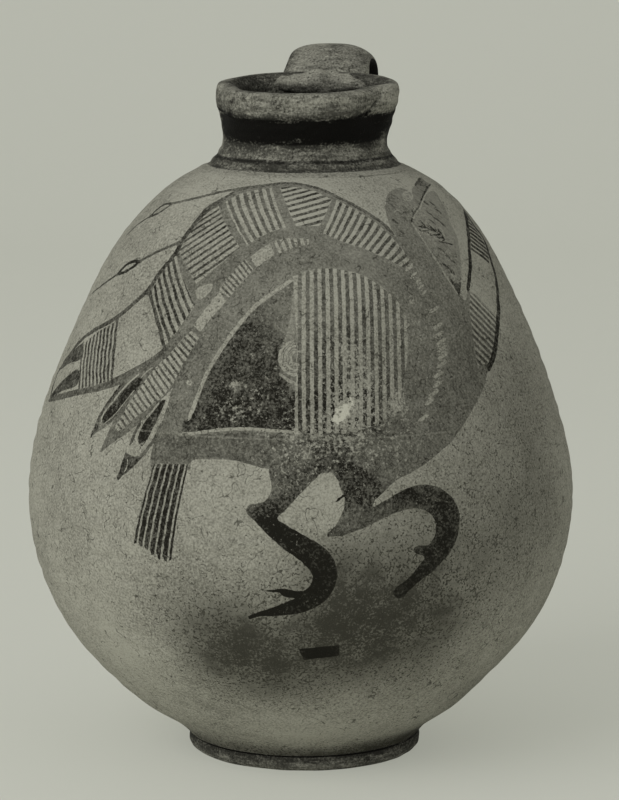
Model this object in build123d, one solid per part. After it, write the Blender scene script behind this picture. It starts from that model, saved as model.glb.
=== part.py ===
from build123d import *
import os
from math import cos, exp, radians, sin

# A hand-thrown ceramic jug: a pear-shaped body on a ring foot, a short waisted neck with a thick pinched
# rim, and a broad strap handle from the back of the rim to the shoulder.
#
# The jug comes apart the way a potter puts it together. Each section is thrown, coiled or pulled by
# itself, dried to leather hardness and luted to the next one with a thin layer of slip. The handle is
# held by a fold of clay over the rim and by a collar of clay pressed round its foot.
# Lengths are millimetres and angles degrees. Z is up and the foot stands on Z = 0. The front of the jug,
# where the rim leans lowest, looks along -Y, and the handle stands at +Y.

# Body
GIRTH_RADIUS = 120.0
GIRTH_HEIGHT = 115.0
SHOULDER_HEIGHT = 258.0
OPENING_RADIUS = 46.0
WALL = 6.0
FLOOR = 8.0

# Ring foot
FOOT_HEIGHT = 7.0
FOOT_RADIUS = 51.0
FOOT_WIDTH = 10.5
FOOT_EDGE = 1.2

# Neck and rim
THROAT_RADIUS = 35.8
THROAT_RISE = 13.2
NECK_WALL = 5.0
BEAD_RADIUS = 1.4
RIM_SEAT_RADIUS = 38.9
RIM_RISE = 11.4
RIM_RADIUS = 41.2
RIM_BORE_RADIUS = 32.2
RIM_HEIGHT = 11.6
RIM_TILT = 3.4
PINCH_DEPTH = 3.8
PINCH_ANGLE = 66.0
PINCH_WIDTH = 18.0

# Strap handle, with the fold of clay at its root and the collar at its foot
HANDLE_RISE = 14.0
CREST_GAP = 15.8
STRAP_WIDTH = 35.0
STRAP_THICKNESS = 9.6
ROOT_WIDTH = 39.0
STRAP_FOOT_WIDTH = 41.0
STRAP_FOOT_THICKNESS = 13.0
FOLD_ANGLE = 38.0
FOLD_DEPTH = 13.0
FOLD_HEIGHT = 11.0
FOLD_DROP = 3.5
COLLAR_WIDTH = 52.0
COLLAR_LENGTH = 42.0
COLLAR_THICKNESS = 10.0

# Joints and cuts
SLIP = 0.8
TONGUE = 5.0
OVERRUN = 20.0

# Heights that follow from the sizes above
NECK_SEAT_HEIGHT = SHOULDER_HEIGHT + SLIP
THROAT_HEIGHT = NECK_SEAT_HEIGHT + THROAT_RISE
RIM_SEAT_HEIGHT = THROAT_HEIGHT + RIM_RISE
LIP_HEIGHT = RIM_SEAT_HEIGHT + RIM_HEIGHT

# Places on the outlines. Each pair says how far a point lies from the first end of its stretch to the
# second, as a share of the change in radius and a share of the change in height.
FOOT_TO_GIRTH_SHARES = [(0.065, 0.045), (0.24, 0.12), (0.485, 0.26), (0.735, 0.445), (0.92, 0.675)]
SEAM_SHARE = (0.104, 0.294)
SHOULDER_SHARES = [(0.22, 0.455), (0.373, 0.63), (0.524, 0.77), (0.68, 0.875), (0.857, 0.958)]
NECK_SHARES = [(0.34, 0.14), (0.56, 0.32), (0.78, 0.55), (0.95, 0.78)]
NECK_BORE_SHARES = [(0.5, 0.4)]
BEAD_SHARE = (0.7, 0.5)
COLLAR_RISE_SHARES = [(0.35, 0.45)]
RIM_OUTSIDE_SHARES = [(0.86, 0.0), (1.0, 0.4), (0.93, 0.74), (0.8, 0.92), (0.56, 1.0)]
RIM_BORE_SHARES = [(0.0, -0.1), (0.0, 0.5), (0.14, 0.86), (0.36, 1.0), (0.6, 1.06)]
HANDLE_RISE_SHARES = [(0.0, 0.0), (0.28, 0.5), (0.6, 0.86)]
BEND_SHARE = (0.0, 0.5)
HANDLE_BEND_SHARES = [(0.0, 0.0), (0.52, 0.08), (0.86, 0.36), (1.0, 1.0)]

# Places along a curve, as shares of its length
WALL_SHARES = [0.1, 0.18, 0.28, 0.4, 0.52, 0.64, 0.76, 0.86, 0.93, 0.97]
HANDLE_FOOT_SHARE = 0.815
HANDLE_TUCK_SHARE = 0.35

# How much of its extra width the strap has at its root and at its foot, at shares of its length
STRAP_SHARES = [
    (0.0, 1.0, 0.0),
    (0.12, 0.5, 0.0),
    (0.26, 0.06, 0.0),
    (0.42, 0.0, 0.0),
    (0.58, 0.0, 0.0),
    (0.74, 0.0, 0.1),
    (0.87, 0.0, 0.5),
    (1.0, 0.0, 1.0),
]

# The fold's thickness at shares of the way from its middle to either end
FOLD_SHARES = [(-1.0, 0.3), (0.0, 1.0), (1.0, 0.3)]
RING_POINTS = 24


def at(radius, height):
    """A point of an outline, in the plane that is turned round the jug's axis."""
    return Vector(radius, 0, height)


def between(start, end, shares):
    """The points of an outline that lie at these shares of the way from start to end."""
    radii = end.X - start.X
    heights = end.Z - start.Z
    return [at(start.X + r * radii, start.Z + h * heights) for r, h in shares]


def turned(edges):
    """The solid that a closed outline makes when it turns once round the jug's axis."""
    return revolve(make_face(Curve() + edges), axis=Axis.Z)


def column(radius, bottom, top):
    """An upright cylinder on the jug's axis."""
    return Pos(0, 0, bottom) * Cylinder(radius, top - bottom, align=(Align.CENTER, Align.CENTER, Align.MIN))


def body_line():
    """The outside of the body as one curve, from the foot's edge round the girth to the opening."""
    foot_edge = at(FOOT_RADIUS, FOOT_HEIGHT)
    girth = at(GIRTH_RADIUS, GIRTH_HEIGHT)
    opening = at(OPENING_RADIUS, SHOULDER_HEIGHT)
    lower = between(foot_edge, girth, FOOT_TO_GIRTH_SHARES)
    upper = between(girth, opening, [SEAM_SHARE, *SHOULDER_SHARES])
    return Spline(foot_edge, *lower, girth, *upper, opening)


def wall_point(line, share, depth):
    """The point that lies this deep under the outside, at a share of the body's line."""
    way = line % share
    return line @ share + Vector(-way.Z, 0, way.X) * depth


def solid_body():
    """The body without its hollow."""
    line = body_line()
    axis_top = at(0, SHOULDER_HEIGHT)
    axis_bottom = at(0, FOOT_HEIGHT)
    edges = [Line(line @ 1, axis_top), Line(axis_top, axis_bottom), Line(axis_bottom, line @ 0)]
    return turned([line, *edges])


def body_hollow():
    """The space inside the body, from its flat floor up through the opening."""
    line = body_line()
    centre = at(0, FOOT_HEIGHT + FLOOR)
    floor_edge = at(FOOT_RADIUS - WALL, FOOT_HEIGHT + FLOOR)
    opening = at(OPENING_RADIUS - NECK_WALL, wall_point(line, 1, WALL).Z)
    side = Spline(floor_edge, *[wall_point(line, share, WALL) for share in WALL_SHARES], opening)
    above = at(opening.X, SHOULDER_HEIGHT + OVERRUN)
    axis_top = at(0, above.Z)
    edges = [Line(opening, above), Line(above, axis_top), Line(axis_top, centre), Line(centre, floor_edge)]
    return turned([side, *edges])


def below_seam(slip):
    """All that lies below the girth seam. The seam steps up by a tongue in the middle of the wall, and
    the upper section stands on this one with that much slip between them."""
    line = body_line()
    girth = at(GIRTH_RADIUS, GIRTH_HEIGHT)
    seam = between(girth, at(OPENING_RADIUS, SHOULDER_HEIGHT), [SEAM_SHARE])[0]
    share = line.param_at_point(seam)
    way = line % share
    middle = wall_point(line, share, WALL / 2 - slip)
    step = at(middle.X, seam.Z + slip)
    tongue_top = middle + way * ((TONGUE + seam.Z + slip - middle.Z) / way.Z)
    outer = at(GIRTH_RADIUS + OVERRUN, step.Z)
    outer_bottom = at(outer.X, 0)
    corners = [at(0, tongue_top.Z), tongue_top, step, outer, outer_bottom, at(0, 0)]
    return turned([Polyline(*corners, close=True)])


def body_sections():
    """The thrown lower body, the slip in the girth seam, and the thrown shoulder above it."""
    shell = solid_body() - body_hollow()
    lower = below_seam(0)
    lower_and_slip = below_seam(SLIP)
    return shell & lower, shell & (lower_and_slip - lower), shell - lower_and_slip


def foot_ring():
    """The ring foot, with a swollen outside and eased lower edges."""
    top = FOOT_HEIGHT - SLIP
    inner = FOOT_RADIUS - FOOT_WIDTH
    outside = ThreePointArc(
        at(FOOT_RADIUS - FOOT_EDGE, 0), at(FOOT_RADIUS + FOOT_EDGE / 3, top / 2), at(FOOT_RADIUS, top)
    )
    corners = [at(FOOT_RADIUS, top), at(inner, top), at(inner, FOOT_EDGE), at(inner + FOOT_EDGE, 0), outside @ 0]
    return turned([outside, Polyline(*corners)])


def foot_slip():
    """The slip between the ring foot and the underside of the body."""
    top = FOOT_HEIGHT - SLIP
    return column(FOOT_RADIUS, top, FOOT_HEIGHT) - column(FOOT_RADIUS - FOOT_WIDTH, top, FOOT_HEIGHT)


def pinch(angle):
    """How deep the rim is pressed in at this angle from its front, where 1 is the bottom of a pinch."""
    return sum(exp(-(((angle - side * PINCH_ANGLE) / PINCH_WIDTH) ** 2)) for side in (-1, 1))


def collar_ring(radius, height):
    """One closed ring of the neck or rim. It is round and level up to the throat. Above the throat it is
    pinched more and more at both sides of its front, and it leans forwards, up to the rim's seat."""
    climb = (height - THROAT_HEIGHT) / (RIM_SEAT_HEIGHT - THROAT_HEIGHT)
    share = min(1.0, max(0.0, climb))
    if not share:
        return Wire.make_circle(radius, Plane(origin=(0, 0, height), x_dir=(0, 1, 0), z_dir=(0, 0, 1)))
    points = []
    for step in range(RING_POINTS):
        angle = step * 360 / RING_POINTS - 180
        reach = radius - share * PINCH_DEPTH * pinch(angle)
        points.append(Vector(reach * sin(radians(angle)), -reach * cos(radians(angle)), 0))
    ring = Wire([Spline(*points, periodic=True)])
    return Pos(0, 0, height) * Rot(share * RIM_TILT, 0, 0) * ring


def lofted(outline):
    """The solid whose side passes through the collar rings of these points of an outline."""
    return Solid.make_loft([collar_ring(point.X, point.Z) for point in outline])


def neck():
    """The waisted neck. Its base is turned with a bead round it, and above the throat it follows the rim."""
    seat = at(OPENING_RADIUS, NECK_SEAT_HEIGHT)
    throat = at(THROAT_RADIUS, THROAT_HEIGHT)
    rim_seat = at(RIM_SEAT_RADIUS, RIM_SEAT_HEIGHT)
    bore_seat = at(OPENING_RADIUS - NECK_WALL, seat.Z)
    bore_throat = at(THROAT_RADIUS - NECK_WALL, THROAT_HEIGHT)
    bore_rim = at(RIM_BORE_RADIUS, RIM_SEAT_HEIGHT)
    outside = Spline(seat, *between(seat, throat, NECK_SHARES), throat)
    inside = Spline(bore_seat, *between(bore_seat, bore_throat, NECK_BORE_SHARES), bore_throat)
    base = turned([outside, Line(throat, bore_throat), inside, Line(bore_seat, seat)])
    bead_line = between(seat, throat, [BEAD_SHARE])[0]
    bead = Pos(0, 0, bead_line.Z) * Torus(bead_line.X, BEAD_RADIUS)
    collar = lofted([throat, *between(throat, rim_seat, COLLAR_RISE_SHARES), rim_seat])
    bore = lofted([bore_throat, (bore_throat + bore_rim) / 2, bore_rim])
    return base + bead + (collar - bore)


def neck_slip():
    """The slip between the neck and the shoulder."""
    disc = column(OPENING_RADIUS, SHOULDER_HEIGHT, NECK_SEAT_HEIGHT)
    return disc - column(OPENING_RADIUS - NECK_WALL, SHOULDER_HEIGHT, NECK_SEAT_HEIGHT)


def solid_rim():
    """The rim without its bore: a thick coil, pressed onto the neck so that its lower edge stands proud."""
    seat = at(RIM_BORE_RADIUS, RIM_SEAT_HEIGHT)
    brow = at(RIM_RADIUS, LIP_HEIGHT)
    return lofted(between(seat, brow, RIM_OUTSIDE_SHARES))


def rim():
    """The rim with its bore, which flares to a rounded lip."""
    seat = at(RIM_BORE_RADIUS, RIM_SEAT_HEIGHT)
    brow = at(RIM_RADIUS, LIP_HEIGHT)
    return solid_rim() - lofted(between(seat, brow, RIM_BORE_SHARES))


def handle_line():
    """The middle line of the strap. It climbs out of the back of the rim, turns over at its crest and comes
    down to the shoulder, and it runs on a little way under the shoulder's surface."""
    foot = body_line() @ HANDLE_FOOT_SHARE
    root = at(RIM_BORE_RADIUS, (RIM_SEAT_HEIGHT + LIP_HEIGHT) / 2)
    crest = at(RIM_RADIUS + CREST_GAP, LIP_HEIGHT + HANDLE_RISE - STRAP_THICKNESS / 2)
    bend = between(foot, crest, [BEND_SHARE])[0]
    tuck = foot + (foot - bend) * HANDLE_TUCK_SHARE
    rise = between(root, crest, HANDLE_RISE_SHARES)
    fall = between(crest, bend, HANDLE_BEND_SHARES)
    return Spline(*[Vector(0, point.X, point.Z) for point in [*rise, *fall, foot, tuck]])


def strap():
    """The strap as an oval section that swells towards both of its ends."""
    line = handle_line()
    sections = []
    for share, root, foot in STRAP_SHARES:
        width = STRAP_WIDTH + root * (ROOT_WIDTH - STRAP_WIDTH) + foot * (STRAP_FOOT_WIDTH - STRAP_WIDTH)
        thickness = STRAP_THICKNESS + foot * (STRAP_FOOT_THICKNESS - STRAP_THICKNESS)
        plane = Plane(origin=line @ share, x_dir=Vector(1, 0, 0), z_dir=line % share)
        sections.append(plane * Ellipse(width / 2, thickness / 2))
    return loft(sections)


def handle():
    """The strap, cut to sit on the rim and on the shoulder."""
    return strap() - solid_rim() - solid_body()


def handle_fold():
    """The clay at the strap's root, folded over the back of the lip and thinned out to both sides."""
    sections = []
    for way, size in FOLD_SHARES:
        angle = radians(way * FOLD_ANGLE)
        outwards = Vector(-sin(angle), cos(angle), 0)
        plane = Plane(origin=outwards * RIM_BORE_RADIUS, x_dir=outwards, z_dir=(-cos(angle), -sin(angle), 0))
        sections.append(plane * Ellipse(size * FOLD_DEPTH / 2, size * FOLD_HEIGHT / 2))
    fold = Pos(0, 0, LIP_HEIGHT) * Rot(RIM_TILT, 0, 0) * Pos(0, 0, -FOLD_DROP) * loft(sections)
    return fold - rim() - strap()


def handle_collar():
    """The clay pressed round the strap's foot, an oval pad that lies on the slope of the shoulder."""
    line = body_line()
    foot = line @ HANDLE_FOOT_SHARE
    way = line % HANDLE_FOOT_SHARE
    plane = Plane(origin=(0, foot.X, foot.Z), x_dir=(1, 0, 0), z_dir=(0, way.Z, -way.X))
    pad = scale(Sphere(1), by=(COLLAR_WIDTH / 2, COLLAR_LENGTH / 2, COLLAR_THICKNESS / 2))
    return plane * pad - solid_body() - strap()


def main():
    """Write one STEP file for each piece of the jug."""
    lower_body, girth_slip, upper_body = body_sections()
    pieces = {
        "foot_ring": foot_ring(),
        "foot_slip": foot_slip(),
        "lower_body": lower_body,
        "girth_slip": girth_slip,
        "upper_body": upper_body,
        "neck_slip": neck_slip(),
        "neck": neck(),
        "rim": rim(),
        "handle": handle(),
        "handle_fold": handle_fold(),
        "handle_collar": handle_collar(),
    }
    os.makedirs("parts", exist_ok=True)
    for name, piece in pieces.items():
        export_step(piece, f"parts/{name}.step")


if __name__ == "__main__":
    main()
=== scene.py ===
"""A hand-thrown jug with a painted bird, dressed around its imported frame.

Shapes are worked out in millimetres and put into the meshes in metres. Z is up, the jug stands on Z = 0,
the front of the rim looks along -Y and the handle stands at +Y.
"""

import logging
import math
from dataclasses import dataclass, field
from enum import Enum
from functools import partial, reduce
from typing import ClassVar

import bpy
import numpy as np
from mathutils import Matrix, Vector


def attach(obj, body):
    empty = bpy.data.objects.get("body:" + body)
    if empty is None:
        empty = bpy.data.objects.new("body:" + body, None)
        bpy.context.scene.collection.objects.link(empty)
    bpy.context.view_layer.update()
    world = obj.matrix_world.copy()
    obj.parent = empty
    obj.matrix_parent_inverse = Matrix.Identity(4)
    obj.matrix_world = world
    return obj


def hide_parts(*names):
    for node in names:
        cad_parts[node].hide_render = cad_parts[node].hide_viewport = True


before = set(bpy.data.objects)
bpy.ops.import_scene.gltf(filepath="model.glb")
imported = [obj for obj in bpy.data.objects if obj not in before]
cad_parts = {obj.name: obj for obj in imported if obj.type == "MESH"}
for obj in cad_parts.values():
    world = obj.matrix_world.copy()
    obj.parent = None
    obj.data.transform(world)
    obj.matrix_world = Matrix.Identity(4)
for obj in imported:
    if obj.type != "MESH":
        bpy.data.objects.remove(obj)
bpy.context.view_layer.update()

METRES = 0.001  # in a millimetre
PIXELS_PER_MM = 2.2556  # of the photograph, at the jug's axis
SPLINE_STEPS = 40  # for each point that a spline passes through
FAR = 9.0  # millimetres from a painted edge, beyond which no mark matters
SHARP = 48.0  # degrees between two faces, from which their edge shows
TINY = 1e-9  # keeps a length of nothing from being divided by
Array = np.ndarray
Material, Tree, Node, Socket = bpy.types.Material, bpy.types.NodeTree, bpy.types.Node, bpy.types.NodeSocket
Pair = tuple[float, float]  # a pixel, a radius and a height, or the two ends of a range
Row = tuple[float, ...]
Rows = tuple[Row, ...]
Patterns = dict[str, tuple[float, float, float]]  # of each, its size in millimetres, detail and roughness
Nodes = dict[str, Node]
log = logging.getLogger("jug")


class Slot(Enum):
    """The names of three material slots."""

    CLAY = "fired_clay"
    SLIP = "joint_slip"
    PAINT = "painted_clay"


class Line(Enum):
    """Whether a line is painted, or left bare in the paint."""

    DARK = "dark"
    LIGHT = "light"


class Stripes(Enum):
    """The two sets of striped fields. Fields that touch each other lie in different sets."""

    FIRST = "first"
    SECOND = "second"


class Cloud(Enum):
    """What a soft cloud does to the wall: rubs paint off, thins it, soils the clay and paints light and shade on it,
    or chips it.
    """

    WEAR = "wear"
    FADE = "fade"
    # Soil and painted shade above zero, painted light below zero.
    GRIME = "grime"
    CHIP = "chip"


PAINT_MARKS = (
    "paint", "tone", "wear", "fade",
    *(f"{line.value}_{part}" for line in Line for part in ("side", "far", "half", "tone")),
    *(f"{stripes.value}_{part}" for stripes in Stripes for part in ("stripe", "edge", "share", "tone")),
)


def blank(mark: str) -> float:
    """What a mark says where nothing is painted: a long way if it is a distance, and otherwise nothing."""
    return FAR if mark.endswith(("paint", "side", "far", "edge")) else 0.0


def linear(colour: str) -> tuple[float, float, float, float]:
    """Turns an sRGB hex colour to linear light.

    Args:
        colour: Six hex digits, such as "8C8B7F".

    Returns:
        Red, green, blue and an alpha of 1.
    """
    parts = np.array([int(colour[k : k + 2], 16) / 255 for k in (0, 2, 4)])
    light = np.where(parts <= 0.04045, parts / 12.92, ((parts + 0.055) / 1.055) ** 2.4)
    return (*light.tolist(), 1.0)


def smooth_curve(points: Array, count: int) -> Array:
    """A natural cubic spline over chord length, sampled at even steps of its own length.

    Between two points the curve is a p + b q + ((a^3 - a) P + (b^3 - b) Q) h^2 / 6, where a and b run from
    one point to the other and P and Q are the second derivatives that make the slopes meet.

    Args:
        points: The points that the curve passes through, one in each row.
        count: How many points to return.

    Returns:
        Points of the curve, the first and last of them its ends.
    """
    points = np.asarray(points, float)
    spans = np.linalg.norm(np.diff(points, axis=0), axis=1)
    knots = np.concatenate([[0.0], np.cumsum(spans)]) / spans.sum()
    steps = np.diff(knots)
    system = np.eye(len(points))
    for k in range(1, len(points) - 1):
        system[k, k - 1 : k + 2] = steps[k - 1], 2 * (steps[k - 1] + steps[k]), steps[k]
    sides = np.zeros_like(points)
    sides[1:-1] = 6 * np.diff(np.diff(points, axis=0) / steps[:, None], axis=0)
    bends = np.linalg.solve(system, sides)
    share = np.linspace(0, 1, SPLINE_STEPS * len(points))
    k = np.clip(np.searchsorted(knots, share, side="right") - 1, 0, len(points) - 2)
    b = ((share - knots[k]) / steps[k])[:, None]
    a = 1 - b
    curved = ((a**3 - a) * bends[k] + (b**3 - b) * bends[k + 1]) * steps[k][:, None] ** 2 / 6
    return even_steps(a * points[k] + b * points[k + 1] + curved, count)


def even_steps(corners: Array | list[Pair], count: int) -> Array:
    """Points at even steps along a path of straight pieces.

    Args:
        corners: The path's corners, one in each row.
        count: How many points to return.

    Returns:
        Points of the path, the first and last of them its ends.
    """
    path = np.asarray(corners)
    length = np.concatenate([[0.0], np.cumsum(np.linalg.norm(np.diff(path, axis=0), axis=1))])
    wanted = np.linspace(0, length[-1], count)
    return np.stack([np.interp(wanted, length, axis) for axis in path.T], axis=1)


def unit(ways: Array) -> Array:
    """The same directions, each of length 1."""
    return ways / np.linalg.norm(ways, axis=-1, keepdims=True)


def bell(distance: Array, width: float) -> Array:
    """A bell curve of a distance: exp(-(distance / width)^2)."""
    return np.exp(-((distance / width) ** 2))


def joined(*stretches: Array) -> Array:
    """Puts stretches of an outline one after another, and keeps each shared corner once."""
    return np.concatenate([stretches[0], *[stretch[1:] for stretch in stretches[1:]]])


def between(start: Pair, end: Pair, shares: Rows) -> Array:
    """Radii and heights at these shares of the way from the start of a stretch to its end."""
    first, last = np.array(start), np.array(end)
    return first + np.array(shares).reshape(-1, 2) * (last - first)


@dataclass(frozen=True)
class Unevenness:
    """What the hand leaves in a surface: a sum of sine waves in space, each with its own direction."""

    seed: int
    shortest: float  # of the waves, in millimetres
    longest: float
    depth: float  # how far the sum usually stands from zero
    waves: int = 24
    flatten: float = 1.0  # how much slower the waves run round the jug than up it

    def at(self, points: Array) -> Array:
        """The sum of the waves at each point.

        Args:
            points: Points in millimetres, their coordinates last.

        Returns:
            One value for each point, in millimetres.
        """
        draw = np.random.default_rng(self.seed)
        way = draw.normal(size=(self.waves, 3))
        way[:, :2] /= self.flatten
        way = unit(way)
        length = np.exp(draw.uniform(math.log(self.shortest), math.log(self.longest), self.waves))
        start = draw.uniform(0, 2 * math.pi, self.waves)
        phase = points @ (way * 2 * math.pi / length[:, None]).T + start
        return np.sin(phase).sum(axis=-1) * self.depth * math.sqrt(2 / self.waves)


@dataclass(frozen=True)
class PhotoView:
    """Where the photograph was taken from, and how it maps points to pixels."""

    turn: float = 12.0  # how far round to the right of the jug's front, in degrees
    pitch: float = 9.473  # how far it looks down
    distance: float = 1486.0  # from the jug's axis, in millimetres
    height: float = 403.0  # over the floor
    side: float = 2.9  # to the right of the axis
    focal: float = 3413.0  # in pixels
    columns: float = 619.0
    rows: float = 800.0

    def axes(self) -> tuple[Array, Array, Array]:
        """The camera's right, up and forward directions."""
        turn, pitch = math.radians(self.turn), math.radians(self.pitch)
        right = np.array([math.cos(turn), math.sin(turn), 0])
        level = np.array([-math.sin(turn), math.cos(turn), 0])
        up = level * math.sin(pitch) + np.array([0, 0, math.cos(pitch)])
        return right, up, np.cross(up, right)

    def place(self) -> Array:
        """The camera's place in millimetres."""
        right, _, _ = self.axes()
        level = np.array([-right[1], right[0], 0])
        return right * self.side - level * self.distance + np.array([0, 0, self.height])

    def rays(self, pixels: Array) -> Array:
        """The directions in which the camera sees some pixels, as unit vectors."""
        right, up, forward = self.axes()
        across = (pixels[:, :1] - self.columns / 2) / self.focal
        down = (pixels[:, 1:] - self.rows / 2) / self.focal
        return unit(forward + across * right - down * up)


VIEW = PhotoView()


@dataclass(frozen=True)
class Sheet:
    """A grid of points that closes round the jug, ready to become a mesh."""

    points: Array  # rows by columns by three coordinates, in millimetres
    ring: bool = True  # whether the last row meets the first; otherwise both end rows close on a point
    marks: dict[str, Array] = field(default_factory=dict)  # values for each point

    def corners(self) -> Array:
        """Row and column of each corner of each four-sided face, counted on past the seam."""
        rows, columns, _ = self.points.shape
        last = rows if self.ring else rows - 1
        row, column = np.meshgrid(np.arange(last), np.arange(columns), indexing="ij")
        row, column = row.ravel(), column.ravel()
        around = [(row, column), (row, column + 1), (row + 1, column + 1), (row + 1, column)]
        return np.stack([np.stack(pair, axis=1) for pair in around], axis=1)

    def volume(self, faces: Array) -> float:
        """Six times the volume that the faces enclose, below zero where they point inwards."""
        points = self.points.reshape(-1, 3)
        a, b, c, d = (points[faces[:, k]] for k in range(4))
        return float((np.cross(a, b) * c).sum() + (np.cross(a, c) * d).sum())

    def mesh(self, name: str) -> bpy.types.Mesh:
        """The sheet as a mesh of four-sided faces, with a fan of triangles on each point that closes it.

        Args:
            name: The mesh's name.

        Returns:
            The mesh, in metres, with its marks as attributes and its own map for baking.
        """
        rows, columns, _ = self.points.shape
        corners = self.corners()
        faces = (corners[..., 0] % rows) * columns + corners[..., 1] % columns
        turned = self.volume(faces) < 0
        grid = corners / np.array([rows, columns])
        if turned:
            faces, grid = faces[:, ::-1], grid[:, ::-1]
        points = self.points.reshape(-1, 3)
        marks = {key: value.ravel() for key, value in self.marks.items()}
        polygons, maps = faces.tolist(), [grid.reshape(-1, 2)]
        if not self.ring:
            ends = self.points[[0, -1]].mean(axis=1)
            points = np.concatenate([points, ends])
            marks = {key: np.append(value, [value[0], value[-1]]) for key, value in marks.items()}
            step = np.arange(columns)
            for k, row in enumerate((0, rows - 1)):
                tip = np.full(columns, rows * columns + k)
                fan = np.stack([row * columns + step, tip, row * columns + (step + 1) % columns], axis=1)
                level = np.full(columns, row / rows)
                flat = np.stack([np.stack([level, (step + part) / columns], axis=1) for part in (0, 0.5, 1)], axis=1)
                if (k == 0) == turned:
                    fan, flat = fan[:, ::-1], flat[:, ::-1]
                polygons += fan.tolist()
                maps.append(flat.reshape(-1, 2))
        mesh = bpy.data.meshes.new(name)
        mesh.from_pydata((points * METRES).tolist(), [], polygons)
        own_map = mesh.uv_layers.new(name="OFBake")
        own_map.data.foreach_set("uv", np.concatenate(maps)[:, ::-1].astype(np.float32).ravel())
        for key, value in marks.items():
            mesh.attributes.new(key, "FLOAT", "POINT").data.foreach_set("value", value.astype(np.float32))
        mesh.shade_smooth()
        mesh.set_sharp_from_angle(angle=math.radians(SHARP))
        mesh.validate()
        return mesh


def show(sheet: Sheet, name: str, node: str, finish: Material) -> bpy.types.Object:
    """Puts a piece into the scene in the place of its node.

    Args:
        sheet: The piece's surface.
        name: The object's name.
        node: The node that the piece stands for.
        finish: Its material.

    Returns:
        The new object.
    """
    mesh = sheet.mesh(name)
    mesh.materials.append(finish)
    piece = bpy.data.objects.new(name, mesh)
    bpy.context.scene.collection.objects.link(piece)
    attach(piece, "root")
    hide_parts(node)
    log.info("%s: %d faces", name, len(mesh.polygons))
    return piece


@dataclass(frozen=True)
class Stance:
    """How the jug stands off its axis, and how uneven its hand-made wall is."""

    heights: Row = (0.0, 7.0, 30.0, 60.0, 115.0, 200.0, 258.0, 296.0)  # in millimetres
    # How far the wall stands to the camera's right there.
    leans: Row = (0.7, 0.7, -0.6, -1.4, -1.1, -0.6, 0.5, 1.5)
    dents: Unevenness = Unevenness(seed=4, shortest=55, longest=170, depth=0.38)  # what the hands left
    # What the fingers left on the wheel.
    ridges: Unevenness = Unevenness(seed=9, shortest=4.5, longest=13, depth=0.085, flatten=9)

    def lean_at(self, height: Array) -> Array:
        """How far the wall stands to the camera's right at a height, along a smooth curve."""
        curve = smooth_curve(np.stack([self.heights, self.leans], axis=1), count=80)
        return np.interp(height, curve[:, 0], curve[:, 1])

    def leaned(self, points: Array) -> Array:
        """Moves points of the upright jug to where the leaning one has them."""
        return points + self.lean_at(points[..., 2])[..., None] * VIEW.axes()[0]

    def settled(self, points: Array, ways: Array) -> Array:
        """Leans a true surface that faces these ways, and gives it its dents and its ridges."""
        return self.leaned(points) + ways * (self.dents.at(points) + self.ridges.at(points))[..., None]


STANCE = Stance()


def turned(outline: Array, angles: Array) -> Array:
    """Turns rows of radii and heights round the axis: x = r sin(a), y = -r cos(a), z = h."""
    across, away = outline[:, :1] * np.sin(angles), -outline[:, :1] * np.cos(angles)
    return np.stack([across, away, np.broadcast_to(outline[:, 1:], across.shape)], axis=-1)


def outward(outline: Array, angles: Array) -> Array:
    """The level directions away from the axis, one for each point of the turned outline."""
    return turned(np.tile([1.0, 0.0], (len(outline), 1)), angles)


def from_front(angles: Array) -> Array:
    """Angles from the jug's front in degrees, from -180 to 180."""
    return np.degrees((angles + math.pi) % (2 * math.pi) - math.pi)


def all_round(count: int) -> Array:
    """Angles at even steps once round, in radians."""
    return np.linspace(0, 2 * math.pi, count, endpoint=False)


def bells(degrees: Array, spots: Rows) -> Array:
    """A sum of bell curves round the jug, each with an angle, a width in degrees and a strength."""
    return sum(strength * bell(degrees - angle, width) for angle, width, strength in spots)


def close_round(centre: float, half: float, fine: float, coarse: float) -> Array:
    """Radians once round the jug: a fine step within half of the centre and a coarse one beyond, in degrees."""
    back = np.linspace(half, 360 - half, round((360 - 2 * half) / coarse), endpoint=False)
    return np.radians(np.concatenate([np.arange(-half, half, fine), back]) + centre)


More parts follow.
